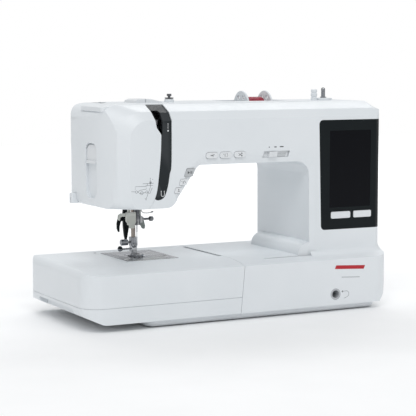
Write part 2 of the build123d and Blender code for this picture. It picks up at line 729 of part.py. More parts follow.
with BuildPart() as free_arm_cover:
    add(soft_block(FREE_LEFT, SEAM_TOP_X - 12.0, FREE_FRONT, FREE_REAR, FREE_BOTTOM_Z, BED_Z, 9.0))
    add(block(-30.0, SEAM_TOP_X - 6.0, FREE_FRONT, FREE_REAR, FREE_BOTTOM_Z, BED_Z))
    add(outer.part, mode=Mode.SUBTRACT)
    add(
        soft_block(
            FREE_LEFT + FREE_WALL,
            10.0,
            FREE_FRONT + FREE_WALL,
            FREE_REAR - FREE_WALL,
            FREE_BOTTOM_Z + FREE_WALL,
            BED_Z - FREE_WALL,
            7.0,
        ),
        mode=Mode.SUBTRACT,
    )
    add(block(PLATE_LEFT, PLATE_RIGHT, PLATE_FRONT, PLATE_REAR, PLATE_UNDER_Z, 90.0), mode=Mode.SUBTRACT)
    add(
        block(PLATE_LEFT + 3.0, PLATE_RIGHT - 3.0, PLATE_FRONT + 3.0, PLATE_REAR - 3.0, 70.0, 90.0),
        mode=Mode.SUBTRACT,
    )
finish(free_arm_cover, "free_arm_cover")

# ---------- extension table: upper shell and lower tray, notched round the free arm ----------
NOTCH = (FREE_LEFT - TABLE_GAP, FREE_FRONT - TABLE_GAP, FREE_REAR + TABLE_GAP)
with BuildPart() as table:
    add(table_solid(0.0))
    add(block(NOTCH[0], 20.0, NOTCH[1], NOTCH[2], 0.0, 90.0), mode=Mode.SUBTRACT)
with BuildPart() as table_hollow:
    add(table_solid(TABLE_WALL))
    add(
        block(NOTCH[0] - TABLE_WALL, 20.0, NOTCH[1] - TABLE_WALL, NOTCH[2] + TABLE_WALL, 0.0, 90.0),
        mode=Mode.SUBTRACT,
    )
with BuildPart() as extension_table_shell:
    add(table.part)
    add(table_hollow.part, mode=Mode.SUBTRACT)
    add(block(-300.0, 50.0, -150.0, 150.0, 0.0, TABLE_SPLIT_Z), mode=Mode.SUBTRACT)
finish(extension_table_shell, "extension_table_shell")

# Shadow groove along the seam between shell and tray.
with BuildPart() as seam_groove:
    add(block(-300.0, 50.0, -150.0, 150.0, TABLE_SPLIT_Z - 0.5, TABLE_SPLIT_Z + 1.0))
    add(table_solid(1.0), mode=Mode.SUBTRACT)

with BuildPart() as extension_table_tray:
    add(table.part)
    add(table_hollow.part, mode=Mode.SUBTRACT)
    add(block(-300.0, 50.0, -150.0, 150.0, TABLE_SPLIT_Z, 100.0), mode=Mode.SUBTRACT)
    add(seam_groove.part, mode=Mode.SUBTRACT)
    add(block(TABLE_LEFT + 2.5, TABLE_LEFT + 16.0, -63.0, 63.0, 13.0, 31.0))
    add(soft_block_x(TABLE_LEFT - 5.0, TABLE_LEFT + 13.0, -60.0, 60.0, 5.0, 27.5, 4.0), mode=Mode.SUBTRACT)
    add(table.part, mode=Mode.INTERSECT)
finish(extension_table_tray, "extension_table_tray")

# ---------- sewing field ----------
FEED_ROWS = ((-121.0, 1.0, 27.0), (-117.0, 13.0, 27.0), (-107.0, 13.0, 27.0), (-103.0, 1.0, 27.0))
with BuildPart() as needle_plate:
    edges = (PLATE_LEFT + 0.2, PLATE_RIGHT - 0.2, PLATE_FRONT + 0.2, PLATE_REAR - 0.2)
    add(soft_block(*edges, PLATE_UNDER_Z, PLATE_TOP_Z, 3.0))
    add(soft_block(-140.0, -80.0, -29.0, -3.0, 70.0, 90.0, 2.0), mode=Mode.SUBTRACT)
    for row_x, row_y0, row_y1 in FEED_ROWS:
        slot = soft_block(row_x - 1.7, row_x + 1.7, row_y0 - 3.5, row_y1 + 3.5, 70.0, 90.0, 0.8)
        add(slot, mode=Mode.SUBTRACT)
    needle_hole = (NEEDLE_X - 1.2, NEEDLE_X + 1.2, NEEDLE_Y - 1.2, NEEDLE_Y + 1.2)
    add(soft_block(*needle_hole, 70.0, 90.0, 0.8), mode=Mode.SUBTRACT)
    for screw_x in (PLATE_LEFT + 9.0, PLATE_RIGHT - 9.0):
        add(rod_z(screw_x, PLATE_REAR - 9.0, PLATE_TOP_Z - 0.6, PLATE_TOP_Z + 1.0, 3.2), mode=Mode.SUBTRACT)
    add(soft_block(-76.0, -70.0, 0.0, 6.0, PLATE_TOP_Z - 1.0, PLATE_TOP_Z + 1.0, 1.0), mode=Mode.SUBTRACT)
finish(needle_plate, "needle_plate")

with BuildPart() as bobbin_cover_plate:
    add(soft_block(-139.5, -80.5, -28.4, -3.5, PLATE_UNDER_Z, PLATE_TOP_Z, 1.6))
    add(block(-139.5, -80.5, -28.8, -25.9, PLATE_UNDER_Z - 1.0, PLATE_UNDER_Z + 0.05), mode=Mode.SUBTRACT)
    thumb_spot = soft_block(-137.0, -131.0, -20.0, -12.0, PLATE_TOP_Z - 0.7, PLATE_TOP_Z + 1.0, 1.5)
    add(thumb_spot, mode=Mode.SUBTRACT)
finish(bobbin_cover_plate, "bobbin_cover_plate")

with BuildPart() as feed_dog:
    add(block(-125.0, -99.0, -1.0, 31.0, 72.0, 75.0))
    for row_x, row_y0, row_y1 in FEED_ROWS:
        add(block(row_x - 1.1, row_x + 1.1, row_y0, row_y1, 75.0, PLATE_TOP_Z + 0.2))
        for tooth in range(int((row_y1 - row_y0) / 2.0)):
            tooth_y = row_y0 + 2.0 * tooth
            with BuildSketch(Plane.YZ.offset(row_x - 1.1)):
                with BuildLine():
                    Polyline(
                        (tooth_y, PLATE_TOP_Z + 0.2),
                        (tooth_y + 2.0, PLATE_TOP_Z + 0.2),
                        (tooth_y + 1.6, PLATE_TOP_Z + 1.0),
                        close=True,
                    )
                make_face()
            extrude(amount=2.2)
    needle_gap = (NEEDLE_X - 3.0, NEEDLE_X + 3.0, NEEDLE_Y - 7.0, NEEDLE_Y + 7.0)
    add(soft_block(*needle_gap, 60.0, 80.0, 1.5), mode=Mode.SUBTRACT)
    add(block(-100.0, -94.0, 10.0, 20.0, 72.0, 75.0))
finish(feed_dog, "feed_dog")

HOOK_R = 19.0
with BuildPart() as hook:
    add(rod_z(NEEDLE_X, HOOK_Y, 52.0, 70.0, HOOK_R))
    add(rod_z(NEEDLE_X, HOOK_Y, 54.2, 71.0, HOOK_R - 2.5), mode=Mode.SUBTRACT)
    add(rod_z(NEEDLE_X, HOOK_Y, 37.0, 52.0, 5.0))
    add(rod_z(NEEDLE_X, HOOK_Y, 40.0, 47.0, 9.0))
    add(block(NEEDLE_X - 22.0, NEEDLE_X - 4.0, HOOK_Y + 6.0, HOOK_Y + 22.0, 60.0, 64.0), mode=Mode.SUBTRACT)
finish(hook, "hook")

with BuildPart() as bobbin_case:
    add(rod_z(NEEDLE_X, HOOK_Y, 54.6, 71.5, HOOK_R - 3.0))
    add(block(NEEDLE_X - 30.0, NEEDLE_X - 14.0, HOOK_Y - 4.0, HOOK_Y + 4.0, 70.4, 73.5))
    add(rod_z(NEEDLE_X, HOOK_Y, 56.2, 75.0, 12.0), mode=Mode.SUBTRACT)
    add(rod_z(NEEDLE_X, HOOK_Y, 55.0, 62.0, 2.9))
finish(bobbin_case, "bobbin_case")

with BuildPart() as bobbin:
    add(rod_z(NEEDLE_X, HOOK_Y, 56.6, 68.1, 10.3))
    with BuildSketch(Plane.XY.offset(57.8)):
        with Locations((NEEDLE_X, HOOK_Y)):
            Circle(11.0)
            Circle(8.6, mode=Mode.SUBTRACT)
    extrude(amount=9.1, mode=Mode.SUBTRACT)
    add(rod_z(NEEDLE_X, HOOK_Y, 50.0, 70.0, 2.95), mode=Mode.SUBTRACT)
    for hole_at in PolarLocations(6.0, 4):
        spot = hole_at.position
        add(rod_z(NEEDLE_X + spot.X, HOOK_Y + spot.Y, 50.0, 70.0, 1.2), mode=Mode.SUBTRACT)
finish(bobbin, "bobbin")

# ---------- needle and presser ----------
with BuildPart() as needle_bar:
    add(rod_z(NEEDLE_X, NEEDLE_Y, 124.0, 280.0, 3.6))
    add(rod_z(NEEDLE_X, NEEDLE_Y, 124.0, 136.0, 5.2))
    add(block(NEEDLE_X + 3.0, NEEDLE_X + 7.0, NEEDLE_Y - 3.5, NEEDLE_Y + 3.5, 127.0, 136.0))
    add(rod_z(NEEDLE_X, NEEDLE_Y, DRIVE_Z - 6.5, DRIVE_Z + 6.5, 6.6))
    add(rod_x(NEEDLE_X, NEEDLE_X + 8.5, NEEDLE_Y, DRIVE_Z, 2.5))
    add(rod_x(NEEDLE_X + 1.0, NEEDLE_X + 9.0, NEEDLE_Y, 131.5, 1.5), mode=Mode.SUBTRACT)
    add(rod_z(NEEDLE_X, NEEDLE_Y, 120.0, 134.0, 1.05), mode=Mode.SUBTRACT)
finish(needle_bar, "needle_bar")

with BuildPart() as needle:
    add(rod_z(NEEDLE_X, NEEDLE_Y, 114.0, 134.0, 1.02))
    add(rod_z(NEEDLE_X, NEEDLE_Y, 98.0, 114.0, 0.6))
    with BuildSketch(Plane.XY.offset(98.0)):
        with Locations((NEEDLE_X, NEEDLE_Y)):
            Circle(0.6)
    extrude(amount=-5.0, taper=5.5)
    eye = block(NEEDLE_X - 0.25, NEEDLE_X + 0.25, NEEDLE_Y - 2.0, NEEDLE_Y + 2.0, 97.0, 99.0)
    add(eye, mode=Mode.SUBTRACT)
finish(needle, "needle")

with BuildPart() as clamp_screw:
    add(rod_x(NEEDLE_X + 1.2, NEEDLE_X + 14.0, NEEDLE_Y, 131.5, 1.45))
    add(rod_x(NEEDLE_X + 7.4, NEEDLE_X + 9.4, NEEDLE_Y, 131.5, 3.0))
    add(rod_x(NEEDLE_X + 14.0, NEEDLE_X + 25.0, NEEDLE_Y, 131.5, 3.6))
    fillet(clamp_screw.faces().sort_by(Axis.X)[-1].edges(), 1.2)
finish(clamp_screw, "clamp_screw")

with BuildPart() as connecting_rod:
    with BuildSketch(Plane.YZ.offset(NEEDLE_X + 9.5)):
        with Locations((SHAFT_Y, (SHAFT_Z + CRANK_R + DRIVE_Z) / 2)):
            SlotOverall(SHAFT_Z + CRANK_R - DRIVE_Z + 10.5, 10.0, rotation=90.0)
        with Locations((SHAFT_Y, SHAFT_Z + CRANK_R)):
            Circle(3.0 + RUN, mode=Mode.SUBTRACT)
        with Locations((SHAFT_Y, DRIVE_Z)):
            Circle(2.6, mode=Mode.SUBTRACT)
    extrude(amount=4.5)
finish(connecting_rod, "connecting_rod")

with BuildPart() as presser_bar:
    add(rod_z(NEEDLE_X, PRESSER_Y, 104.0, 272.0, 3.0))
    add(soft_block(NEEDLE_X - 4.5, NEEDLE_X + 4.5, PRESSER_Y - 1.5, PRESSER_Y + 7.0, 190.0, 200.0, 1.0))
finish(presser_bar, "presser_bar")

with BuildPart() as foot_holder:
    add(soft_block(NEEDLE_X - 5.0, NEEDLE_X + 5.0, PRESSER_Y - 5.0, PRESSER_Y + 5.0, 94.0, 106.0, 2.0))
    add(rod_z(NEEDLE_X, PRESSER_Y, 104.0, 108.0, 3.0), mode=Mode.SUBTRACT)
    add(rod_x(NEEDLE_X - 17.0, NEEDLE_X - 5.0, PRESSER_Y, 99.0, 1.6))
    add(rod_x(NEEDLE_X - 19.0, NEEDLE_X - 9.0, PRESSER_Y, 99.0, 4.2))
    fillet(foot_holder.faces().sort_by(Axis.X)[0].edges(), 1.2)
finish(foot_holder, "foot_holder")

FOOT_Z = 81.6
with BuildPart() as presser_foot:
    add(block(NEEDLE_X - 4.0, NEEDLE_X + 4.0, PRESSER_Y - 4.0, PRESSER_Y + 4.0, 86.0, 94.0))
    add(block(NEEDLE_X - 3.0, NEEDLE_X + 3.0, NEEDLE_Y + 6.0, PRESSER_Y, FOOT_Z, 88.0))
    add(rod_z(NEEDLE_X, NEEDLE_Y, FOOT_Z, FOOT_Z + 2.4, 9.0))
    add(rod_z(NEEDLE_X, NEEDLE_Y, FOOT_Z - 1.0, FOOT_Z + 3.0, 4.0), mode=Mode.SUBTRACT)
    add(rod_x(NEEDLE_X - 18.0, NEEDLE_X - 3.5, PRESSER_Y, 90.0, 1.2))
    with BuildSketch(Plane.XZ.offset(-PRESSER_Y)):
        with Locations((NEEDLE_X - 20.0, 90.0)):
            Circle(3.4)
            Rectangle(10.0, 10.0, align=(Align.CENTER, Align.MAX), mode=Mode.SUBTRACT)
    revolve(axis=Axis((NEEDLE_X - 20.0, PRESSER_Y, 90.0), (1.0, 0.0, 0.0)))
finish(presser_foot, "presser_foot")

with BuildPart() as needle_threader:
    add(soft_block(-134.0, -119.4, 0.0, 11.0, 121.0, 143.0, 2.0))
    add(rod_z(-126.0, 5.5, 143.0, 212.0, 2.5))
    add(soft_block(-146.0, -134.0, 2.0, 9.0, 131.0, 142.0, 2.0))
    add(block(-122.0, -119.4, -4.0, 0.0, 121.0, 125.0))
finish(needle_threader, "needle_threader")

LIFT_PIVOT = (38.0, 163.0)
with BuildPart() as presser_lifter_lever:
    with BuildSketch(Plane.YZ.offset(-119.5)):
        with BuildLine():
            Polyline(
                (LIFT_PIVOT[0] - 2.5, LIFT_PIVOT[1]),
                (LIFT_PIVOT[0] - 1.5, 152.0),
                (42.0, 130.0),
                (45.5, 106.0),
                (48.0, 100.0),
                (52.5, 99.0),
                (51.0, 108.0),
                (47.0, 130.0),
                (LIFT_PIVOT[0] + 3.5, 154.0),
                (LIFT_PIVOT[0] + 3.0, LIFT_PIVOT[1]),
                close=True,
            )
        make_face()
    extrude(amount=12.0)
    add(rod_x(-119.5, -107.5, LIFT_PIVOT[0], LIFT_PIVOT[1], 5.0))
    add(rod_x(-125.0, -100.0, LIFT_PIVOT[0], LIFT_PIVOT[1], 2.5 + RUN), mode=Mode.SUBTRACT)
finish(presser_lifter_lever, "presser_lifter_lever")

# ---------- thread path ----------
TAKE_UP = (-12.0, 225.0)
with BuildPart() as take_up_lever:
    with BuildSketch(Plane.YZ.offset(-121.0)):
        with BuildLine():
            Polyline(
                (TAKE_UP[0] - 1.0, TAKE_UP[1] - 5.0),
                (-58.0, 258.0),
                (-69.0, 264.0),
                (-71.0, 270.0),
                (-66.0, 272.5),
                (-55.0, 266.0),
                (TAKE_UP[0] + 3.0, TAKE_UP[1] + 5.0),
                close=True,
            )
        make_face()
        with Locations((-66.5, 268.0)):
            Circle(1.6, mode=Mode.SUBTRACT)
    extrude(amount=3.0)
    add(rod_x(-121.0, -116.0, TAKE_UP[0], TAKE_UP[1], 7.0))
    add(rod_x(-125.0, -112.0, TAKE_UP[0], TAKE_UP[1], 3.0 + RUN), mode=Mode.SUBTRACT)
finish(take_up_lever, "take_up_lever")

with BuildPart() as thread_cutter:
    add(soft_block(-200.5, -190.0, 28.0, 37.0, 156.2, 169.8, 1.0))
    add(block(-202.0, -195.0, 31.5, 33.5, 155.0, 164.0), mode=Mode.SUBTRACT)
finish(thread_cutter, "thread_cutter")

with BuildPart() as upper_thread_guide:
    with BuildSketch(Plane.XZ.offset(-16.0)):
        with BuildLine():
            Polyline(
                (-128.0, SLAB_TOP),
                (-126.0, 295.0),
                (-121.0, 296.8),
                (-103.0, 296.8),
                (-86.0, 292.6),
                (-86.0, SLAB_TOP),
                close=True,
            )
        make_face()
    extrude(amount=34.0)
    fillet(upper_thread_guide.edges().filter_by(Axis.Z, reverse=True).group_by(Axis.Z)[-1], 1.0)
    add(rod_x(-130.0, -84.0, -19.0, 293.4, 1.0), mode=Mode.SUBTRACT)
    add(block(-112.0, -110.0, -18.5, -8.0, 292.4, 300.0), mode=Mode.SUBTRACT)
finish(upper_thread_guide, "upper_thread_guide")

with BuildPart() as pretension_disc:
    add(rod_z(-67.0, 0.0, SLAB_TOP, 294.2, 6.0))
    add(rod_z(-67.0, 0.0, 294.2, 301.5, 1.8))
    add(rod_z(-67.0, 0.0, 296.0, 296.8, 6.0))
    add(rod_z(-67.0, 0.0, 297.2, 298.0, 6.0))
    add(rod_z(-67.0, 0.0, 300.0, 303.0, 3.2))
finish(pretension_disc, "pretension_disc")

# ---------- spool and bobbin winder ----------
with BuildPart() as spool_pin:
    add(rod_x(53.0, BAY[1], SPOOL_Y, SPOOL_Z, 2.5))
    add(rod_x(104.0, 106.5, SPOOL_Y, SPOOL_Z, 5.5))
finish(spool_pin, "spool_pin")

with BuildPart() as thread_spool:
    add(rod_x(66.0, 94.2, SPOOL_Y, SPOOL_Z, 6.5))
    add(rod_x(67.5, 92.7, SPOOL_Y, SPOOL_Z, 13.2))
    chamfer(thread_spool.edges().filter_by(GeomType.CIRCLE).filter_by(lambda e: e.radius > 13.0), 1.2)
    add(rod_x(60.0, 100.0, SPOOL_Y, SPOOL_Z, 3.0), mode=Mode.SUBTRACT)
finish(thread_spool, "thread_spool")


def spool_cap(rim, back, hub):
    """Dished disc with a hub towards the spool, bored for the pin."""
    low, high = min(rim, back), max(rim, back)
    with BuildPart() as made:
        add(rod_x(low, high, SPOOL_Y, SPOOL_Z, CAP_R))
        chamfer(made.edges().filter_by(GeomType.CIRCLE), 0.8)
        add(rod_x(min(back, hub), max(back, hub), SPOOL_Y, SPOOL_Z, 8.0))
        add(rod_x(low - 20.0, high + 20.0, SPOOL_Y, SPOOL_Z, 2.55), mode=Mode.SUBTRACT)
        for hole_at in PolarLocations(14.0, 6):
            spot = hole_at.position
            add(rod_x(low - 1.0, high + 1.0, SPOOL_Y + spot.X, SPOOL_Z + spot.Y, 3.2), mode=Mode.SUBTRACT)
    return made.part


with BuildPart() as spool_cap_left:
    add(spool_cap(59.0, 62.0, 65.6))
finish(spool_cap_left, "spool_cap_left")

with BuildPart() as spool_cap_right:
    add(spool_cap(100.0, 97.0, 94.6))
finish(spool_cap_right, "spool_cap_right")

with BuildPart() as bobbin_spindle:
    add(rod_z(WINDER_X, 0.0, 270.0, 295.5, 2.6))
    add(rod_z(WINDER_X, 0.0, 295.5, 306.5, 2.9))
    with Locations((WINDER_X, 0.0, 306.5)):
        Sphere(2.9)
    add(rod_z(WINDER_X, 0.0, 268.5, 274.5, 13.0))
    add(rod_z(WINDER_X, 0.0, 294.8, 296.0, 4.6))
    add(block(WINDER_X - 4.0, WINDER_X + 4.0, -0.6, 0.6, 306.6, 312.0), mode=Mode.SUBTRACT)
finish(bobbin_spindle, "bobbin_spindle")

with BuildPart() as bobbin_seat:
    add(rod_z(WINDER_X, 0.0, DECK_Z, 294.4, 10.5))
    chamfer(bobbin_seat.faces().sort_by(Axis.Z)[-1].edges(), 0.8)
    add(block(WINDER_X + 9.0, WINDER_X + 13.5, -3.0, 3.0, DECK_Z, 294.0))
    add(rod_z(WINDER_X, 0.0, 280.0, 300.0, 3.3), mode=Mode.SUBTRACT)
finish(bobbin_seat, "bobbin_seat")

with BuildPart() as bobbin_stopper:
    add(rod_z(STOPPER_X, 0.0, 284.0, DECK_Z, 2.5))
    add(rod_z(STOPPER_X, 0.0, DECK_Z, 307.0, 4.6))
    fillet(bobbin_stopper.faces().sort_by(Axis.Z)[-1].edges(), 2.2)
finish(bobbin_stopper, "bobbin_stopper")

with BuildPart() as carry_handle:
    with BuildSketch(Plane.XZ.offset(-HANDLE_Y - 5.0)) as bow:
        with Locations(((HANDLE_LUGS[0] + HANDLE_LUGS[1]) / 2, HANDLE_Z - 20.0)):
            Rectangle(HANDLE_LUGS[1] - HANDLE_LUGS[0] - 8.6, 52.0)
        with Locations(((HANDLE_LUGS[0] + HANDLE_LUGS[1]) / 2, HANDLE_Z - 12.0)):
            Rectangle(HANDLE_LUGS[1] - HANDLE_LUGS[0] - 24.6, 44.0, mode=Mode.SUBTRACT)
        fillet(bow.vertices().group_by(Axis.Y)[0], 10.0)
    extrude(amount=9.0)
    for pin_from, pin_to in (
        (HANDLE_LUGS[0] - 3.0, HANDLE_LUGS[0] + 4.3),
        (HANDLE_LUGS[1] - 4.3, HANDLE_LUGS[1] + 3.0),
    ):
        add(rod_x(pin_from, pin_to, HANDLE_Y, HANDLE_Z, 3.0))
finish(carry_handle, "carry_handle")

# ---------- drive ----------
with BuildPart() as upper_shaft:
    add(rod_x(-84.0, 230.0, SHAFT_Y, SHAFT_Z, SHAFT_R))
    add(rod_x(-96.0, -84.0, SHAFT_Y, SHAFT_Z, 19.0))
    upper_half = block(-96.5, -83.5, SHAFT_Y - 25.0, SHAFT_Y + 25.0, SHAFT_Z - 2.0, SHAFT_Z + 9.0)
    add(upper_half, mode=Mode.SUBTRACT)
    add(rod_x(-96.0, -84.0, SHAFT_Y, SHAFT_Z, 8.0))
    add(block(-96.0, -84.0, SHAFT_Y - 5.0, SHAFT_Y + 5.0, SHAFT_Z, SHAFT_Z + CRANK_R + 4.0))
    add(rod_x(-103.5, -96.0, SHAFT_Y, SHAFT_Z + CRANK_R, 3.0))
    add(rod_x(BELT_X, BELT_X + 8.0, SHAFT_Y, SHAFT_Z, 12.0))
    for flange_x in (BELT_X - 1.2, BELT_X + 8.0):
        add(rod_x(flange_x, flange_x + 1.2, SHAFT_Y, SHAFT_Z, 13.5))
    add(rod_x(MOTOR_BELT_X, MOTOR_BELT_X + 6.0, SHAFT_Y, SHAFT_Z, 26.0))
finish(upper_shaft, "upper_shaft")

with BuildPart() as lower_shaft:
    add(rod_x(-126.0, 128.0, LOWER_Y, LOWER_Z, LOWER_R))
    add(rod_x(BELT_X, BELT_X + 8.0, LOWER_Y, LOWER_Z, 12.0))
    for flange_x in (BELT_X - 1.2, BELT_X + 8.0):
        add(rod_x(flange_x, flange_x + 1.2, LOWER_Y, LOWER_Z, 13.5))
    add(rod_x(-116.0, -108.0, LOWER_Y, LOWER_Z, 7.0))
finish(lower_shaft, "lower_shaft")


def belt_loop(x, width, first, first_r, second, second_r, clear, thick):
    """A flat belt running round two pulleys whose axes lie along X."""
    gap_y = second[0] - first[0]
    gap_z = second[1] - first[1]
    span = hypot(gap_y, gap_z)
    lean = atan2(gap_z, gap_y)
    with BuildPart() as made:
        for extra, how in ((thick, Mode.ADD), (0.0, Mode.SUBTRACT)):
            r1 = first_r + clear + extra
            r2 = second_r + clear + extra
            side = pi / 2 + atan2(r2 - r1, span)
            near_up = (first[0] + r1 * cos(lean + side), first[1] + r1 * sin(lean + side))
            near_down = (first[0] + r1 * cos(lean - side), first[1] + r1 * sin(lean - side))
            far_up = (second[0] + r2 * cos(lean + side), second[1] + r2 * sin(lean + side))
            far_down = (second[0] + r2 * cos(lean - side), second[1] + r2 * sin(lean - side))
            with BuildSketch(Plane.YZ.offset(x)):
                with BuildLine():
                    Polyline(near_up, far_up, far_down, near_down, close=True)
                make_face()
                with Locations(first):
                    Circle(r1)
                with Locations(second):
                    Circle(r2)
            extrude(amount=width, mode=how)
    return made.part


with BuildPart() as drive_belts:
    add(belt_loop(BELT_X + 0.6, 6.8, (LOWER_Y, LOWER_Z), 12.0, (SHAFT_Y, SHAFT_Z), 12.0, 0.35, 1.4))
    add(belt_loop(MOTOR_BELT_X + 0.5, 5.0, (MOTOR_Y, MOTOR_Z), 6.0, (SHAFT_Y, SHAFT_Z), 26.0, 0.35, 1.4))
finish(drive_belts, "drive_belts")

with BuildPart() as motor:
    add(rod_x(158.0, 194.0, MOTOR_Y, MOTOR_Z, 21.0))
    chamfer(motor.edges().filter_by(GeomType.CIRCLE), 1.5)
    add(rod_x(194.0, 197.0, MOTOR_Y, MOTOR_Z, 8.0))
    add(block(160.0, 190.0, MOTOR_Y - 12.0, MOTOR_Y + 12.0, 70.0, 92.0))
    add(block(150.0, 196.0, MOTOR_Y - 22.0, MOTOR_Y + 22.0, 66.0, 70.0))
    add(rod_x(185.0, 200.0, MOTOR_Y, MOTOR_Z, 2.5 + RUN), mode=Mode.SUBTRACT)
finish(motor, "motor")

with BuildPart() as motor_pulley:
    add(rod_x(186.0, MOTOR_BELT_X + 6.0, MOTOR_Y, MOTOR_Z, 2.5))
    add(rod_x(MOTOR_BELT_X, MOTOR_BELT_X + 6.0, MOTOR_Y, MOTOR_Z, 6.0))
finish(motor_pulley, "motor_pulley")

with BuildPart() as frame_casting:
    with BuildSketch(Plane.XZ.offset(-44.0)) as plate:
        with BuildLine():
            Polyline(
                (-134.0, 172.0),
                (-99.0, 172.0),
                (-69.0, 216.0),
                (132.0, 216.0),
                (132.0, 73.0),
                (-136.0, 73.0),
                (-136.0, 38.0),
                (150.0, 38.0),
                (150.0, 252.0),
                (-92.0, 252.0),
                (-92.0, 276.0),
                (-134.0, 276.0),
                close=True,
            )
        make_face()
        fillet(plate.vertices(), 3.0)
    extrude(amount=8.0)
    for lug_x in (-56.0, 100.0):
        add(block(lug_x, lug_x + 10.0, 2.0, 36.0, 226.0, 244.0))
        add(rod_x(lug_x, lug_x + 10.0, SHAFT_Y, SHAFT_Z, 9.0))
        add(rod_x(lug_x - 1.0, lug_x + 11.0, SHAFT_Y, SHAFT_Z, SHAFT_R + RUN), mode=Mode.SUBTRACT)
    for lug_x in (-86.0, 100.0):
        add(block(lug_x, lug_x + 10.0, LOWER_Y - 7.0, 36.0, 37.5, 51.0))
        add(rod_x(lug_x - 1.0, lug_x + 11.0, LOWER_Y, LOWER_Z, LOWER_R + RUN), mode=Mode.SUBTRACT)
    add(block(-131.0, -122.0, 13.0, 37.0, 159.5, 190.0))
    add(block(-131.0, NEEDLE_X, 13.0, 28.0, 159.5, 170.0))
    for lug_z, lug_rear in ((159.5, 28.0), (262.0, 37.0)):
        add(soft_block(NEEDLE_X - 8.0, NEEDLE_X + 7.0, NEEDLE_Y - 8.0, lug_rear, lug_z, lug_z + 10.5, 4.0))
        add(rod_z(NEEDLE_X, NEEDLE_Y, lug_z - 1.0, lug_z + 12.0, 3.6 + RUN), mode=Mode.SUBTRACT)
        add(rod_z(NEEDLE_X, PRESSER_Y, lug_z - 1.0, lug_z + 12.0, 3.0 + RUN), mode=Mode.SUBTRACT)
    add(block(-131.0, -121.0, 0.0, 37.0, 186.0, 196.0))
    add(rod_z(-126.0, 5.5, 180.0, 200.0, 2.5 + RUN), mode=Mode.SUBTRACT)
    add(block(-131.0, -124.0, TAKE_UP[0] - 6.0, 37.0, TAKE_UP[1] - 6.0, TAKE_UP[1] + 6.0))
    add(rod_x(-124.0, -115.0, TAKE_UP[0], TAKE_UP[1], 3.0))
    add(block(-106.5, -100.0, LIFT_PIVOT[0] - 4.0, LIFT_PIVOT[0] + 4.0, LIFT_PIVOT[1] - 4.0, 173.0))
    add(rod_x(-120.5, -106.5, LIFT_PIVOT[0], LIFT_PIVOT[1], 2.5))
    add(block(134.0, 148.0, -40.0, 60.0, 30.0, 38.0))
    for leg_y in (-34.0, 54.0):
        add(rod_z(141.0, leg_y, BED_BOTTOM_Z + WALL, 30.0, 6.0))
finish(frame_casting, "frame_casting")

with BuildPart() as main_board:
    add(block(130.0, 205.0, -62.0, -60.4, 100.0, 262.0))
    add(block(139.0, 161.0, -60.4, -57.0, 189.0, 211.0))
    add(block(178.0, 192.0, -60.4, -57.0, 161.0, 179.0))
    add(block(140.0, 170.0, -60.4, -57.0, 123.0, 137.0))
    for post_x in (134.0, 201.0):
        for post_z in (106.0, 257.6):
            add(rod_y(post_x, post_z, -77.0, -62.0, 3.0))
finish(main_board, "main_board")

with BuildPart() as handwheel:
    add(rod_x(219.6, 237.0, SHAFT_Y, SHAFT_Z, WHEEL_R))
    fillet(handwheel.faces().sort_by(Axis.X)[-1].edges(), 4.0)
    for groove in PolarLocations(WHEEL_R + 0.6, 30):
        spot = groove.position
        add(rod_x(219.0, 233.0, SHAFT_Y + spot.X, SHAFT_Z + spot.Y, 1.6), mode=Mode.SUBTRACT)
    add(rod_x(219.0, 230.0, SHAFT_Y, SHAFT_Z, SHAFT_R), mode=Mode.SUBTRACT)
finish(handwheel, "handwheel")

# ---------- keys and sliders ----------
for key in KEYS:
    with BuildPart() as push_key:
        add(key_solid(key, 0.0, KEY_FRONT, -73.5))
        add(key_solid(key, KEY_FLANGE, -75.6, -73.5))
    finish(push_key, key[0])

for label, span in (("screen_button_left", SCREEN_BUTTONS[0]), ("screen_button_right", SCREEN_BUTTONS[1])):
    with BuildPart() as screen_key:
        add(soft_block_y(span[0], span[1], -80.9, -74.0, 127.8, 137.3, 2.0))
        fillet(screen_key.faces().sort_by(Axis.Y)[0].edges(), 0.5)
        add(block(span[0] - 0.8, span[1] + 0.8, -75.8, -74.0, 126.8, 138.3))
    finish(screen_key, label)

with BuildPart() as speed_slider_knob:
    with BuildSketch(Plane.XZ.offset(76.0)):
        with BuildLine():
            Polyline((43.6, 217.4), (56.0, 217.4), (57.6, 225.0), (45.2, 225.0), close=True)
        make_face()
    extrude(amount=6.2)
    add(block(41.0, 60.0, -76.6, -74.0, 215.6, 226.8))
    for ridge_x in (47.6, 50.4, 53.2):
        add(block(ridge_x - 0.4, ridge_x + 0.4, -82.8, -82.0, 218.4, 224.2))
finish(speed_slider_knob, "speed_slider_knob")

with BuildPart() as pressure_slider:
    with BuildSketch(head_side.offset(-RECESS_DEEP + 0.4)):
        with Locations((0.0, 21.5)):
            RectangleRounded(RECESS_WIDE - 1.2, 25.0, 9.0)
    extrude(amount=2.4)
    with BuildSketch(head_side.offset(-RECESS_DEEP + 0.4)):
        with Locations((0.0, 11.6)):
            RectangleRounded(RECESS_WIDE - 4.0, 4.0, 1.5)
    extrude(amount=4.4)
finish(pressure_slider, "pressure_slider")

# ---------- sockets on the body ----------
with BuildPart() as knee_lifter_socket:
    add(rod_y(KNEE_X, KNEE_Z, -104.4, -84.0, KNEE_R + 2.5))
    add(rod_y(KNEE_X, KNEE_Z, -106.0, -88.0, KNEE_R), mode=Mode.SUBTRACT)
finish(knee_lifter_socket, "knee_lifter_socket")

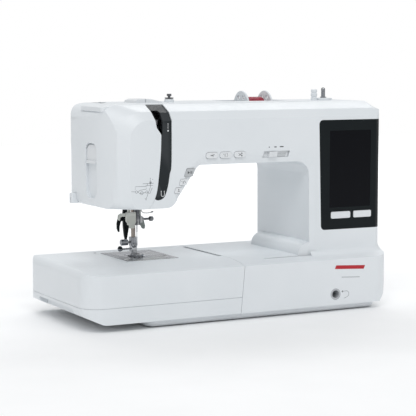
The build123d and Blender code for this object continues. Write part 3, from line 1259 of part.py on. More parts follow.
with BuildPart() as power_inlet:
    add(block(INLET_BACK, ARM_RIGHT, INLET[0], INLET[1], INLET[2], INLET[3]))
    cavity = (INLET[0] + 4.0, INLET[1] - 4.0, INLET[2] + 4.0, INLET[3] - 4.0)
    add(block(INLET_BACK + 3.0, ARM_RIGHT + 5.0, *cavity), mode=Mode.SUBTRACT)
    pin_z = (INLET[2] + INLET[3]) / 2
    for pin_y in ((INLET[0] + INLET[1]) / 2 - 5.0, (INLET[0] + INLET[1]) / 2 + 5.0):
        add(rod_x(INLET_BACK + 3.0, INLET_BACK + 13.0, pin_y, pin_z, 1.3))
finish(power_inlet, "power_inlet")

SWITCH_MID = ((SWITCH[0] + SWITCH[1]) / 2, (SWITCH[2] + SWITCH[3]) / 2)
with BuildPart() as power_switch:
    with BuildSketch(Plane.XZ.offset(-SWITCH_MID[0] - 11.0)):
        with BuildLine():
            Polyline(
                (ARM_RIGHT - 6.5, SWITCH_MID[1] - 5.0),
                (ARM_RIGHT + 0.1, SWITCH_MID[1] - 7.4),
                (ARM_RIGHT - 0.3, SWITCH_MID[1]),
                (ARM_RIGHT + 2.9, SWITCH_MID[1] + 6.6),
                (ARM_RIGHT - 6.5, SWITCH_MID[1] + 5.0),
                close=True,
            )
        make_face()
    extrude(amount=22.0)
finish(power_switch, "power_switch")
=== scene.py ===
import json
import math

import bmesh
import bpy
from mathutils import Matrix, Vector


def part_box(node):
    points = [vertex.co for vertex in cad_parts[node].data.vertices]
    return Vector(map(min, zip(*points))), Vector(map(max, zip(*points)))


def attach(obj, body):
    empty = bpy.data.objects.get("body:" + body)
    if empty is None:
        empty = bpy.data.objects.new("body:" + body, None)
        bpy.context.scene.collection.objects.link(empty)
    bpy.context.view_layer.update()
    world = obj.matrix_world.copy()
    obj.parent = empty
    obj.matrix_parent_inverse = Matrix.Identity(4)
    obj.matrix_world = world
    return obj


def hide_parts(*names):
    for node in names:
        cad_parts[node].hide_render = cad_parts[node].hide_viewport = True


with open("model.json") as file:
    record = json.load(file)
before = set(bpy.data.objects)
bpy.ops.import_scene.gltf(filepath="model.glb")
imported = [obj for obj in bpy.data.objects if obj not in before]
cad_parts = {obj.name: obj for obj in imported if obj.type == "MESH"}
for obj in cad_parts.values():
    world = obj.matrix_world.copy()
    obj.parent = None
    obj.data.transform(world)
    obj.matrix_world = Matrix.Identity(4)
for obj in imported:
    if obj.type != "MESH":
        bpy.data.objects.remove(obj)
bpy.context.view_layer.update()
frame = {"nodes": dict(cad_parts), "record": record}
MM = 0.001
CHASSIS = "chassis"
EAST, NORTH, UP = (1, 0, 0), (0, 1, 0), (0, 0, 1)

# ---------- materials ----------
TONE_SPREAD = (0.35, 0.65)
NOISE_RANGE = (0.3, 0.7)
EDGE_RANGE = (0.53, 0.6)
# Strength of the paled convex edges: partly wear, partly a painted highlight.
EDGE_WEAR_AND_HIGHLIGHT = 0.35
PLASTIC_IOR = 1.49


def blank(name):
    """A new material and its shader node."""
    mat = bpy.data.materials.new(name)
    mat.use_nodes = True
    return mat, mat.node_tree.nodes["Principled BSDF"]


def node(mat, kind, **sockets):
    """A new node with some of its input sockets set."""
    made = mat.node_tree.nodes.new(kind)
    for name, value in sockets.items():
        made.inputs[name.replace("_", " ")].default_value = value
    return made


def link(mat, out, into):
    """Joins an output socket to an input socket."""
    mat.node_tree.links.new(out, into)


def noise(mat, scale, detail=3.0, stretch=(1.0, 1.0, 1.0)):
    """Noise in the object's own metres, stretched along its axes."""
    place = node(mat, "ShaderNodeTexCoord")
    mapping = node(mat, "ShaderNodeMapping")
    mapping.inputs["Scale"].default_value = stretch
    texture = node(mat, "ShaderNodeTexNoise", Scale=scale, Detail=detail)
    link(mat, place.outputs["Object"], mapping.inputs["Vector"])
    link(mat, mapping.outputs["Vector"], texture.inputs["Vector"])
    return texture.outputs["Fac"]


def two_tone(mat, fac, low, high):
    """Colour that runs from low to high over the middle of a grey value."""
    ramp = node(mat, "ShaderNodeValToRGB")
    ramp.color_ramp.elements[0].position = TONE_SPREAD[0]
    ramp.color_ramp.elements[0].color = (*low, 1.0)
    ramp.color_ramp.elements[1].position = TONE_SPREAD[1]
    ramp.color_ramp.elements[1].color = (*high, 1.0)
    link(mat, fac, ramp.inputs["Fac"])
    return ramp.outputs["Color"]


def ranged(mat, fac, low, high):
    """A grey value moved into a range."""
    spread = node(mat, "ShaderNodeMapRange")
    spread.inputs["From Min"].default_value = NOISE_RANGE[0]
    spread.inputs["From Max"].default_value = NOISE_RANGE[1]
    spread.inputs["To Min"].default_value = low
    spread.inputs["To Max"].default_value = high
    link(mat, fac, spread.inputs["Value"])
    return spread.outputs["Result"]


def bump(mat, shader, height, strength, depth):
    """Fine relief on the shader's normal, its depth in metres."""
    relief = node(mat, "ShaderNodeBump", Strength=strength, Distance=depth)
    link(mat, height, relief.inputs["Height"])
    link(mat, relief.outputs["Normal"], shader.inputs["Normal"])


def worn_and_highlit_edges(mat, colour, wear_and_highlight_tint):
    """Convex edges, found by Pointiness, blend towards a paler tint: partly rubbed wear, partly a painted
    highlight along the edges.
    """
    shape = node(mat, "ShaderNodeNewGeometry")
    edge = node(mat, "ShaderNodeMapRange")
    edge.inputs["From Min"].default_value = EDGE_RANGE[0]
    edge.inputs["From Max"].default_value = EDGE_RANGE[1]
    edge.inputs["To Max"].default_value = EDGE_WEAR_AND_HIGHLIGHT
    mix = node(mat, "ShaderNodeMix")
    mix.data_type = "RGBA"
    mix.inputs["B"].default_value = (*wear_and_highlight_tint, 1.0)
    link(mat, shape.outputs["Pointiness"], edge.inputs["Value"])
    link(mat, edge.outputs["Result"], mix.inputs["Factor"])
    link(mat, colour, mix.inputs["A"])
    return mix.outputs["Result"]


def plastic(name, low, high, rough, grain=1500.0, depth=0.02, coat=0.0, wear_and_highlight_tint=None, shine=0.5):
    """Moulded plastic: faint mottling, spark-eroded grain and uneven gloss."""
    mat, shader = blank(name)
    colour = two_tone(mat, noise(mat, 9.0), low, high)
    # Paler convex edges: partly wear, partly a painted highlight.
    if wear_and_highlight_tint:
        colour = worn_and_highlit_edges(mat, colour, wear_and_highlight_tint)
    link(mat, colour, shader.inputs["Base Color"])
    link(mat, ranged(mat, noise(mat, 55.0), rough - 0.04, rough + 0.05), shader.inputs["Roughness"])
    bump(mat, shader, noise(mat, grain, 2.0), 0.35, depth * MM)
    shader.inputs["IOR"].default_value = PLASTIC_IOR
    shader.inputs["Specular IOR Level"].default_value = shine
    shader.inputs["Coat Weight"].default_value = coat
    shader.inputs["Coat Roughness"].default_value = 0.08
    return mat


def metal(name, low, high, rough, stretch=(1.0, 1.0, 1.0), depth=0.01):
    """Bare metal with tool marks drawn out along one direction."""
    mat, shader = blank(name)
    colour = two_tone(mat, noise(mat, 260.0, 4.0, stretch), low, high)
    # Near-white convex edges: partly wear, partly a painted highlight.
    link(mat, worn_and_highlit_edges(mat, colour, (0.9, 0.9, 0.9)), shader.inputs["Base Color"])
    gloss = ranged(mat, noise(mat, 420.0, 4.0, stretch), rough - 0.07, rough + 0.1)
    link(mat, gloss, shader.inputs["Roughness"])
    bump(mat, shader, noise(mat, 900.0, 3.0, stretch), 0.3, depth * MM)
    shader.inputs["Metallic"].default_value = 1.0
    return mat


def screen_glass():
    """Unlit display: near-black with a fine cell grid and finger smears in the gloss."""
    mat, shader = blank("screen_glass")
    cells = node(mat, "ShaderNodeTexVoronoi", Scale=2600.0, Randomness=0.0)
    place = node(mat, "ShaderNodeTexCoord")
    link(mat, place.outputs["Object"], cells.inputs["Vector"])
    grid = two_tone(mat, cells.outputs["Distance"], (0.0012, 0.0014, 0.002), (0.003, 0.0035, 0.0055))
    link(mat, grid, shader.inputs["Base Color"])
    link(mat, ranged(mat, noise(mat, 38.0, 4.0), 0.12, 0.26), shader.inputs["Roughness"])
    bump(mat, shader, noise(mat, 20.0), 0.04, 0.02 * MM)
    shader.inputs["Specular IOR Level"].default_value = 0.1
    return mat


def thread_red():
    """Rayon thread: two reds in fine strands with a silky sheen."""
    mat, shader = blank("red_thread")
    strands = noise(mat, 2200.0, 4.0, (1.0, 0.25, 0.25))
    reds = two_tone(mat, strands, (0.19, 0.004, 0.018), (0.5, 0.018, 0.062))
    link(mat, reds, shader.inputs["Base Color"])
    link(mat, ranged(mat, strands, 0.34, 0.55), shader.inputs["Roughness"])
    bump(mat, shader, strands, 0.5, 0.05 * MM)
    shader.inputs["Sheen Weight"].default_value = 0.35
    return mat


def circuit_green():
    """Circuit board lacquer with traces showing through."""
    mat, shader = blank("circuit_board")
    traces = node(mat, "ShaderNodeTexBrick", Scale=180.0, Mortar_Size=0.06)
    traces.inputs["Color1"].default_value = (0.006, 0.09, 0.032, 1.0)
    traces.inputs["Color2"].default_value = (0.008, 0.11, 0.04, 1.0)
    traces.inputs["Mortar"].default_value = (0.03, 0.2, 0.08, 1.0)
    place = node(mat, "ShaderNodeTexCoord")
    link(mat, place.outputs["Object"], traces.inputs["Vector"])
    link(mat, traces.outputs["Color"], shader.inputs["Base Color"])
    link(mat, ranged(mat, noise(mat, 90.0), 0.25, 0.4), shader.inputs["Roughness"])
    bump(mat, shader, traces.outputs["Fac"], 0.3, 0.05 * MM)
    return mat


def clear_plastic():
    """Smoked see-through plastic over the bobbin."""
    mat, shader = blank("clear_plastic")
    smoke = two_tone(mat, noise(mat, 30.0), (0.62, 0.66, 0.69), (0.74, 0.77, 0.79))
    link(mat, smoke, shader.inputs["Base Color"])
    link(mat, ranged(mat, noise(mat, 240.0, 4.0), 0.08, 0.2), shader.inputs["Roughness"])
    bump(mat, shader, noise(mat, 900.0), 0.15, 0.01 * MM)
    shader.inputs["Transmission Weight"].default_value = 0.72
    shader.inputs["IOR"].default_value = PLASTIC_IOR
    return mat


MATERIALS = {
    "white_plastic": plastic("white_plastic", (0.74, 0.775, 0.80), (0.77, 0.80, 0.825), 0.4),
    "pale_plastic": plastic("pale_plastic", (0.72, 0.745, 0.765), (0.76, 0.78, 0.80), 0.36, coat=0.1),
    "grey_plastic": plastic("grey_plastic", (0.40, 0.43, 0.44), (0.46, 0.48, 0.50), 0.45),
    # Paler tint on convex edges: partly wear, partly a painted highlight.
    "ivory_plastic": plastic(
        "ivory_plastic", (0.50, 0.515, 0.47), (0.57, 0.58, 0.53), 0.42, wear_and_highlight_tint=(0.8, 0.8, 0.75)
    ),
    "dark_plastic": plastic(
        "dark_plastic", (0.0045, 0.0075, 0.009), (0.0065, 0.010, 0.0115), 0.45, 2200.0, 0.008, shine=0.16
    ),
    # Paler tint on convex edges: partly wear, partly a painted highlight.
    "charcoal_plastic": plastic(
        "charcoal_plastic", (0.013, 0.017, 0.020), (0.018, 0.023, 0.026), 0.42, 1800.0, 0.02,
        wear_and_highlight_tint=(0.07, 0.075, 0.08), shine=0.22
    ),
    "screen_glass": screen_glass(),
    "steel": metal("steel", (0.24, 0.25, 0.27), (0.38, 0.39, 0.41), 0.3, (0.12, 1.0, 1.0)),
    "bright_steel": metal(
        "bright_steel", (0.40, 0.41, 0.43), (0.58, 0.59, 0.61), 0.2, (1.0, 1.0, 0.15), 0.005
    ),
    "cast_metal": metal("cast_metal", (0.30, 0.31, 0.32), (0.42, 0.43, 0.44), 0.55, depth=0.15),
    "rubber_black": plastic(
        "rubber_black", (0.012, 0.012, 0.013), (0.02, 0.02, 0.021), 0.75, 900.0, 0.08
    ),
    "red_thread": thread_red(),
    "circuit_board": circuit_green(),
    "clear_plastic": clear_plastic(),
    "dark_steel": metal(
        "dark_steel", (0.12, 0.125, 0.135), (0.2, 0.205, 0.215), 0.28, (0.15, 1.0, 1.0), 0.005
    ),
    "tab_green": plastic("tab_green", (0.25, 0.285, 0.27), (0.30, 0.335, 0.32), 0.45, 1200.0, 0.01),
    "foot_metal": metal("foot_metal", (0.30, 0.31, 0.33), (0.50, 0.51, 0.53), 0.24),
    "key_grey": plastic("key_grey", (0.44, 0.46, 0.475), (0.48, 0.50, 0.515), 0.42, 1500.0, 0.01),
    "ink_grey": plastic("ink_grey", (0.035, 0.04, 0.045), (0.055, 0.06, 0.066), 0.6, 1200.0, 0.01),
    "ink_soft": plastic("ink_soft", (0.16, 0.175, 0.19), (0.21, 0.225, 0.24), 0.6, 1200.0, 0.01),
    "ink_white": plastic("ink_white", (0.70, 0.72, 0.73), (0.78, 0.79, 0.80), 0.6, 1200.0, 0.01),
    "ink_red": plastic("ink_red", (0.38, 0.006, 0.014), (0.46, 0.01, 0.02), 0.45, 1200.0, 0.01),
}

# Finer finishes for single nodes, where they differ from their slot.
NODE_MATERIALS = {
    "presser_bar": metal(
        "bronzed_steel", (0.22, 0.19, 0.17), (0.33, 0.29, 0.26), 0.3, (1.0, 1.0, 0.12)
    ),
    "needle_plate": metal(
        "plate_steel", (0.27, 0.285, 0.32), (0.37, 0.385, 0.42), 0.27, (0.08, 1.0, 1.0)
    ),
    "needle_threader": MATERIALS["ivory_plastic"],
    "pretension_disc": MATERIALS["dark_steel"],
    "needle_bar": MATERIALS["dark_steel"],
    "start_stop_button": MATERIALS["key_grey"],
    "presser_foot": MATERIALS["foot_metal"],
}

# ---------- CAD nodes: finish, softened edges and shading ----------
EDGE_MM = {
    "front_cover": 0.7,
    "rear_cover": 0.7,
    "face_cover": 0.7,
    "top_cover": 0.9,
    "extension_table_shell": 0.5,
    "extension_table_tray": 0.5,
    "base_tray": 0.6,
    "free_arm_cover": 0.5,
    "screen_bezel": 0.4,
    "handwheel": 0.6,
    "carry_handle": 0.9,
    "thread_slot_trim": 0.4,
}
PLAIN_EDGE_MM = 0.18
CURVE_ANGLE = math.radians(26.0)
FLAT_ANGLE = math.radians(0.4)
WELD_MM = 0.002
BEVEL_STEPS = 3
FACE_WEIGHT = 80


def soften(obj, width):
    """Round a node's crisp edges over with modifiers, and shade it smooth."""
    for face in obj.data.polygons:
        face.use_smooth = True
    if "custom_normal" in obj.data.attributes:
        obj.data.attributes.remove(obj.data.attributes["custom_normal"])
    weld = obj.modifiers.new("weld", "WELD")
    weld.merge_threshold = WELD_MM * MM
    flat = obj.modifiers.new("flat", "DECIMATE")
    flat.decimate_type = "DISSOLVE"
    flat.angle_limit = FLAT_ANGLE
    bevel = obj.modifiers.new("edges", "BEVEL")
    bevel.width = width * MM
    bevel.segments = BEVEL_STEPS
    bevel.limit_method = "ANGLE"
    bevel.angle_limit = CURVE_ANGLE
    bevel.harden_normals = True
    bevel.use_clamp_overlap = True
    shade = obj.modifiers.new("shade", "WEIGHTED_NORMAL")
    shade.keep_sharp = True
    shade.weight = FACE_WEIGHT


def finish_nodes():
    """Gives every CAD node its material and its softened edges."""
    slots = {s["node"]: s["material_slot"] for s in frame["record"]["subparts"]}
    for name, obj in frame["nodes"].items():
        obj.data.materials.clear()
        obj.data.materials.append(NODE_MATERIALS.get(name) or MATERIALS[slots[name]])
        soften(obj, EDGE_MM.get(name, PLAIN_EDGE_MM))


# ---------- mesh helpers ----------
MARK_SINK = -0.02
SCREW_SIDES = 24
SCREW_CROWN = ((1.0, -0.2), (1.0, 0.12), (0.93, 0.26), (0.78, 0.36))
CROSS_HALF = 0.13
CROSS_OUT = 0.62
CROSS_TAPER = 0.8
CROSS_TOP = 0.4


def piece(name, bm, body, material):
    """A finished mesh piece that rides on a body and takes a slot's finish."""
    mesh = bpy.data.meshes.new(name)
    bmesh.ops.recalc_face_normals(bm, faces=bm.faces)
    bm.to_mesh(mesh)
    bm.free()
    obj = bpy.data.objects.new(name, mesh)
    bpy.context.scene.collection.objects.link(obj)
    mesh.materials.append(MATERIALS[material])
    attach(obj, body)
    return obj


def smooth(obj, angle=30.0):
    """Smooth shading that keeps edges over the given angle sharp."""
    for face in obj.data.polygons:
        face.use_smooth = True
    obj.data.set_sharp_from_angle(angle=math.radians(angle))
    return obj


def plane(origin, across, up):
    """Maps (u, v) in millimetres to a point on a plane, lifted along its outward normal."""
    across, up = Vector(across).normalized(), Vector(up).normalized()
    out = across.cross(up)

    def place(u, v, lift):
        return Vector(origin) + (across * u + up * v + out * lift) * MM

    return place


def arc(mid, radius, start, end, steps=12):
    """Points round part of a circle, angles in degrees."""
    turns = [math.radians(start + (end - start) * i / steps) for i in range(steps + 1)]
    return [(mid[0] + radius * math.cos(t), mid[1] + radius * math.sin(t)) for t in turns]


def stroke_sides(line, width):
    """Left and right outlines of a line drawn with a pen of one width."""
    left, right = [], []
    for i, (u, v) in enumerate(line):
        before = line[max(i - 1, 0)]
        after = line[min(i + 1, len(line) - 1)]
        du, dv = after[0] - before[0], after[1] - before[1]
        size = math.hypot(du, dv) or 1.0
        nu, nv = -dv / size * width / 2, du / size * width / 2
        left.append((u + nu, v + nv))
        right.append((u - nu, v - nv))
    return left, right


def slab_face(bm, outline, place, base, top):
    """A closed thin solid over one outline."""
    low = [bm.verts.new(place(u, v, base)) for u, v in outline]
    high = [bm.verts.new(place(u, v, top)) for u, v in outline]
    count = len(outline)
    bm.faces.new(low)
    bm.faces.new(high)
    for i in range(count):
        j = (i + 1) % count
        bm.faces.new((low[i], low[j], high[j], high[i]))


def marks(name, place, body, material, lines=(), shapes=(), width=0.35, top=0.06):
    """Printed marks as very thin solids: lines drawn with a pen, and filled shapes."""
    bm = bmesh.new()
    for line in lines:
        left, right = stroke_sides(line, width)
        for i in range(len(line) - 1):
            slab_face(bm, (left[i], left[i + 1], right[i + 1], right[i]), place, MARK_SINK, top)
    for shape in shapes:
        slab_face(bm, shape, place, MARK_SINK, top)
    return piece(name, bm, body, material)


def lathe(name, mid, axis, profile, body, material, steps=48):
    """A turned piece: (radius, height) points in millimetres, spun round an axis through mid."""
    axis = Vector(axis).normalized()
    side = axis.orthogonal().normalized()
    other = axis.cross(side)
    bm = bmesh.new()
    rings = []
    for radius, height in profile:
        base = Vector(mid) + axis * height * MM
        if radius <= 0.0:
            rings.append([bm.verts.new(base)])
            continue
        turns = [2.0 * math.pi * i / steps for i in range(steps)]
        spokes = [(side * math.cos(t) + other * math.sin(t)) * radius * MM for t in turns]
        rings.append([bm.verts.new(base + spoke) for spoke in spokes])
    for low, high in zip(rings, rings[1:]):
        for i in range(steps):
            j = i + 1
            corners = [low[i % len(low)], low[j % len(low)], high[j % len(high)], high[i % len(high)]]
            bm.faces.new([v for k, v in enumerate(corners) if v not in corners[:k]])
    for ring in (rings[0], rings[-1]):
        if len(ring) > 1:
            bm.faces.new(ring)
    return smooth(piece(name, bm, body, material))


def tube(name, points, radius, body, material, sides=8):
    """A round bar of one radius swept along points given in metres."""
    bm = bmesh.new()
    rings, across = [], None
    for i, point in enumerate(points):
        before, after = points[max(i - 1, 0)], points[min(i + 1, len(points) - 1)]
        ahead = (Vector(after) - Vector(before)).normalized()
        across = ahead.orthogonal() if across is None else across - ahead * across.dot(ahead)
        across.normalize()
        other = ahead.cross(across)
        ring = []
        for k in range(sides):
            t = 2.0 * math.pi * k / sides
            spoke = (across * math.cos(t) + other * math.sin(t)) * radius * MM
            ring.append(bm.verts.new(Vector(point) + spoke))
        rings.append(ring)
    for low, high in zip(rings, rings[1:]):
        for k in range(sides):
            j = (k + 1) % sides
            bm.faces.new((low[k], low[j], high[j], high[k]))
    bm.faces.new(rings[0])
    bm.faces.new(rings[-1])
    return smooth(piece(name, bm, body, material), 50.0)


def screw(name, mid, axis, radius, body):
    """A pan-head screw with a cross recess cut into its crown."""
    axis = Vector(axis).normalized()
    side = axis.orthogonal().normalized()
    other = axis.cross(side)

    def at(u, v, h):
        return Vector(mid) + (side * u + other * v + axis * h) * MM

    def joined(low, high):
        for i in range(len(low)):
            j = (i + 1) % len(low)
            bm.faces.new((low[i], low[j], high[j], high[i]))

    bm = bmesh.new()
    turns = [2.0 * math.pi * i / SCREW_SIDES for i in range(SCREW_SIDES)]
    rings = []
    for share, height in SCREW_CROWN:
        reach = radius * share
        crown = [at(reach * math.cos(t), reach * math.sin(t), radius * height) for t in turns]
        rings.append([bm.verts.new(point) for point in crown])
    for low, high in zip(rings, rings[1:]):
        joined(low, high)
    bm.faces.new(rings[0])
    half, out = radius * CROSS_HALF, radius * CROSS_OUT
    cross = []
    for c, s in ((1, 0), (0, 1), (-1, 0), (0, -1)):
        cross += [(u * c - v * s, u * s + v * c) for u, v in ((out, -half), (out, half), (half, half))]
    rim = [bm.verts.new(at(u, v, radius * CROSS_TOP)) for u, v in cross]
    floor = [bm.verts.new(at(u * CROSS_TAPER, v * CROSS_TAPER, 0.0)) for u, v in cross]
    joined(rim, floor)
    bm.faces.new(floor)
    top = [bm.edges.get((a, b)) for a, b in zip(rings[-1], rings[-1][1:] + rings[-1][:1])]
    lip = [bm.edges.get((a, b)) for a, b in zip(rim, rim[1:] + rim[:1])]
    bmesh.ops.bridge_loops(bm, edges=top + lip)
    return smooth(piece(name, bm, body, "steel"))


# ---------- thread spool ----------
def spool():
    """White core with crossed windings of red thread."""
    low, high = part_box("thread_spool")
    mid = (low + high) / 2
    reach = (high.x - low.x) / MM
    thick = (high.z - low.z) / MM / 2
    core_mid = Vector((low.x, mid.y, mid.z))
    bore, hub = 3.1, 6.5
    lathe("spool_core", core_mid, EAST,
          ((bore, 0.0), (hub, 0.0), (hub, 1.6), (thick - 2.0, 2.2), (thick - 2.0, reach - 2.2),
           (hub, reach - 1.6), (hub, reach), (bore, reach), (bore, 0.0)),
          "spool", "white_plastic")
    body = lathe("thread_body", core_mid, EAST,
                 ((6.6, 1.7), (thick - 1.1, 1.8), (thick - 0.5, 2.6), (thick - 0.5, reach - 2.6),
                  (thick - 1.1, reach - 1.8), (6.6, reach - 1.7)),
                 "spool", "red_thread")
    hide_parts("thread_spool")
    layers = ((0.42, 46, 1), (0.24, 9, -1))
    points_per_turn = 22
    inset = 2.4
    for number, (sink, turns, way) in enumerate(layers):
        steps = turns * points_per_turn
        points = []
        for i in range(steps + 1):
            t = i / steps
            angle = way * 2.0 * math.pi * turns * t
            radius = (thick - sink) * MM
            x = low.x + (inset + (reach - 2.0 * inset) * t) * MM
            points.append((x, mid.y + radius * math.cos(angle), mid.z + radius * math.sin(angle)))
        tube(f"thread_winding_{number}", points, 0.24, "spool", "red_thread", 6)


# ---------- key and slider marks ----------
def icon(key, lines=(), shapes=(), width=0.55):
    """A printed sign on the middle of a key's front face."""
    low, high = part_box(key)
    mid = (low + high) / 2
    front = plane((mid.x, low.y, mid.z), EAST, UP)
    marks(key + "_icon", front, key, "ink_grey", lines, shapes, width, 0.05)


def key_icons():
    """Bars, arrows, hooks and scissors on the function keys."""
    icon("start_stop_button", width=0.75,
         lines=(((1.2, -1.7), (1.2, 1.7)), ((2.7, -1.7), (2.7, 1.7))),
         shapes=(((-3.4, -1.9), (-3.4, 1.9), (-0.2, 0.0)),))
    icon("reverse_button", width=0.5,
         lines=(arc((0.4, 0.0), 1.6, -60, 200), ((-3.1, 0.4), (-3.1, 1.9))),
         shapes=(((-2.0, -0.9), (-0.2, -0.2), (-1.0, -2.0)),))
    icon("presser_lift_button", width=0.5,
         lines=(((-1.6, -1.2), (1.4, -1.2)), ((0.0, -1.0), (0.0, 0.9))),
         shapes=(((-1.1, 0.7), (1.1, 0.7), (0.0, 2.3)),))
    icon("knot_button",
         lines=(((-2.6, 0.0), (-1.3, 0.0)), ((1.6, -1.6), (1.6, 1.6))),
         shapes=(arc((-0.2, 0.0), 1.0, 0, 330, 11), arc((3.1, 1.1), 0.5, 0, 315, 7)))
    icon("needle_position_button",
         lines=(((-0.5, 1.6), (-1.6, 1.6), (-1.6, -1.6), (-0.5, -1.6)),
                ((0.9, 1.6), (2.2, 1.6), (2.2, 0.5)), ((2.2, -0.5), (2.2, -1.6), (0.9, -1.6))),
         shapes=(arc((-3.6, 1.2), 0.5, 0, 315, 7),))
    icon("thread_cut_button",
         lines=(((-2.4, 1.6), (1.6, -1.1)), ((-2.4, -1.6), (1.6, 1.1)),
                arc((2.4, 1.5), 0.8, 0, 360), arc((2.4, -1.5), 0.8, 0, 360)))


def slider_details():
    """Growing marks over the speed slider, and the ribbed floor of its slot."""
    low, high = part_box("speed_slider_knob")
    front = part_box("face_cover")[0].y
    spot = plane((low.x, front, high.z), EAST, UP)
    marks("speed_marks", spot, CHASSIS, "ink_grey", width=1.4,
          lines=(((3.6, 4.2), (5.0, 4.2)), ((12.4, 4.3), (15.8, 4.3)), ((21.0, 4.4), (26.8, 4.4))))
    deep = plane((low.x, front + 4.6 * MM, low.z), EAST, UP)
    tray = ((-6.0, -1.6), (37.0, -1.6), (39.0, 9.6), (-4.0, 9.6))
    marks("speed_tray", deep, CHASSIS, "pale_plastic", shapes=(tray,), top=0.8)
    ribs = [((15.5 + 1.9 * i, 1.4), (17.0 + 1.9 * i, 7.0)) for i in range(9)]
    marks("speed_ribs", deep, CHASSIS, "grey_plastic", ribs, width=0.9, top=0.86)


# ---------- printed diagrams ----------
DIAGRAM_AT = (-143.0, 180.0)
TRIM_TICKS_AT = (-107.6, 262.0)
TRIM_TURN_AT = (-115.6, 173.4)


def threading_diagram():
    """Generic line drawing of a thread running through discs and hooks."""
    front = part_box("face_cover")[0].y
    x, z = DIAGRAM_AT
    at = plane((x * MM, front, z * MM), EAST, UP)
    lines = (
        ((-18.5, -1.0), (-13.0, -1.6)),
        arc((-11.2, -1.8), 1.7, 0, 360), arc((-3.6, -3.6), 2.0, 0, 360), arc((3.6, -2.4), 1.5, 0, 360),
        ((-13.0, 1.0), (-13.0, 5.2), (3.0, 5.0), (3.0, 1.4), (-6.5, 0.2), (-9.5, -2.0)),
        ((-9.5, -1.8), (-6.0, -4.4), (-1.6, -3.4), (2.0, -3.0)),
        ((-2.2, 8.6), (13.8, 8.8)), ((1.8, 5.8), (12.8, 6.0)), ((4.6, 5.8), (4.6, 8.6)),
        ((8.8, 14.0), (9.0, 4.0), (6.0, -3.0), (2.2, -13.0)), ((1.0, -10.4), (3.0, -12.8)),
        arc((8.9, 9.6), 1.5, 0, 360), ((11.8, 3.0), (8.0, -4.6), (4.2, -3.0)),
    )
    dots = (arc((8.7, 15.2), 0.55, 0, 315, 7), arc((12.2, 13.8), 0.5, 0, 315, 7),
            ((8.2, 10.2), (9.8, 10.2), (9.0, 7.6)))
    marks("threading_diagram", at, CHASSIS, "ink_soft", lines, dots, 0.45)


def trim_marks():
    """White ticks at the top of the dark trim and a U-shaped arrow at its foot."""
    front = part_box("thread_slot_trim")[0].y
    x, z = TRIM_TICKS_AT
    ticks = plane((x * MM, front, z * MM), EAST, UP)
    rows = [((-0.7, 4.2 - 1.5 * i), (0.5, 4.2 - 1.5 * i)) for i in range(5)]
    marks("trim_ticks", ticks, CHASSIS, "ink_white", rows,
          (((-0.9, -4.2), (0.9, -4.2), (0.9, -6.2), (-0.9, -6.2)),), 0.6)
    x, z = TRIM_TURN_AT
    turn = plane((x * MM, front, z * MM), EAST, UP)
    bend = [(-2.3, 3.6), *arc((0.0, -0.6), 2.3, 180, 360), (2.3, 3.6)]
    heads = (((-3.2, 3.2), (-1.4, 3.2), (-2.3, 5.0)), ((1.5, 3.2), (3.1, 3.2), (2.3, 4.8)))
    marks("trim_turn", turn, CHASSIS, "ink_white", (bend,), heads, 0.7)


def bed_marks():
    """Curved arrow by the knee lever socket, and a plain red bar with a grey rule under it."""
    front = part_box("front_cover")[0].y
    low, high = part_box("knee_lifter_socket")
    hole = (low + high) / 2
    at = plane((hole.x, front, hole.z), EAST, UP)
    marks("knee_arrow", at, CHASSIS, "ink_soft", width=0.55,
          lines=([(12.6, 3.2), (17.6, 3.4), *arc((17.6, -0.9), 4.3, 90, -60, 10), (16.6, -5.8),
                  (13.6, -6.6)],),
          shapes=(arc((11.3, 3.0), 1.3, 0, 330, 11),))
    lean = 0.055
    bar = plane((hole.x + 23.5 * MM, front, hole.z + 36.5 * MM), (1, 0, -lean), (lean, 0, 1))
    half, tall = 25.0, 2.6
    outline = [(-half, -tall), (half - 2.0, -tall), (half, tall), (-half + 2.0, tall)]
    marks("bed_bar", bar, CHASSIS, "ink_red", shapes=(outline,))
    rule = ((-13.0, -14.0), (17.0, -14.0))
    marks("bed_rule", bar, CHASSIS, "ink_soft", (rule,), width=0.7)


# ---------- needle area ----------
def plate_details():
    """Guide lines and screws on the needle plate."""
    low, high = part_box("needle_plate")
    top = plane((low.x, low.y, high.z), EAST, NORTH)
    reach = (high.x - low.x) / MM
    depth = (high.y - low.y) / MM
    lines = [((reach - 12.0 - 4.0 * i, 30.0), (reach - 12.0 - 4.0 * i, depth - 22.0)) for i in range(3)]
    lines += [((8.0 + 5.0 * i, 42.0), (8.0 + 5.0 * i, depth - 22.0)) for i in range(2)]
    lines.append(((reach - 30.0, 36.0), (reach - 10.0, 36.0)))
    marks("plate_lines", top, CHASSIS, "ink_soft", lines, width=0.3, top=0.05)
    sunk = plane((low.x, low.y, high.z - 0.6 * MM), EAST, NORTH)
    spot = ((reach - 9.6, 29.4), (reach - 4.2, 29.4), (reach - 4.2, 34.6), (reach - 9.6, 34.6))
    marks("plate_catch", sunk, CHASSIS, "dark_plastic", shapes=(spot,), top=0.4)
    inset = 8.8 * MM
    for number, x in enumerate((low.x + inset, high.x - inset)):
        spot = (x, high.y - inset, high.z - 0.55 * MM)
        screw(f"plate_screw_{number}", spot, UP, 2.9, CHASSIS)


def wire_guide():
    """Bent wire thread guide above the needle clamp."""
    low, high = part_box("needle")
    mid = (low + high) / 2
    head_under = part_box("face_cover")[0].z
    base = Vector((mid.x + 4.0 * MM, mid.y - 3.0 * MM, head_under))
    path = ((0, 0, 3), (0.6, -0.6, -9), (1.6, -1.6, -12.6), (3.6, -2.2, -14.2), (9, -3, -14.6),
            (15, -3.5, -14.2), (18, -2.4, -13.8), (19, -1, -13.2), (17.6, -0.2, -13.0), (15.6, -1.0, -13.4))
    points = [base + Vector(p) * MM for p in path]
    tube("wire_guide", points, 0.6, CHASSIS, "dark_steel")


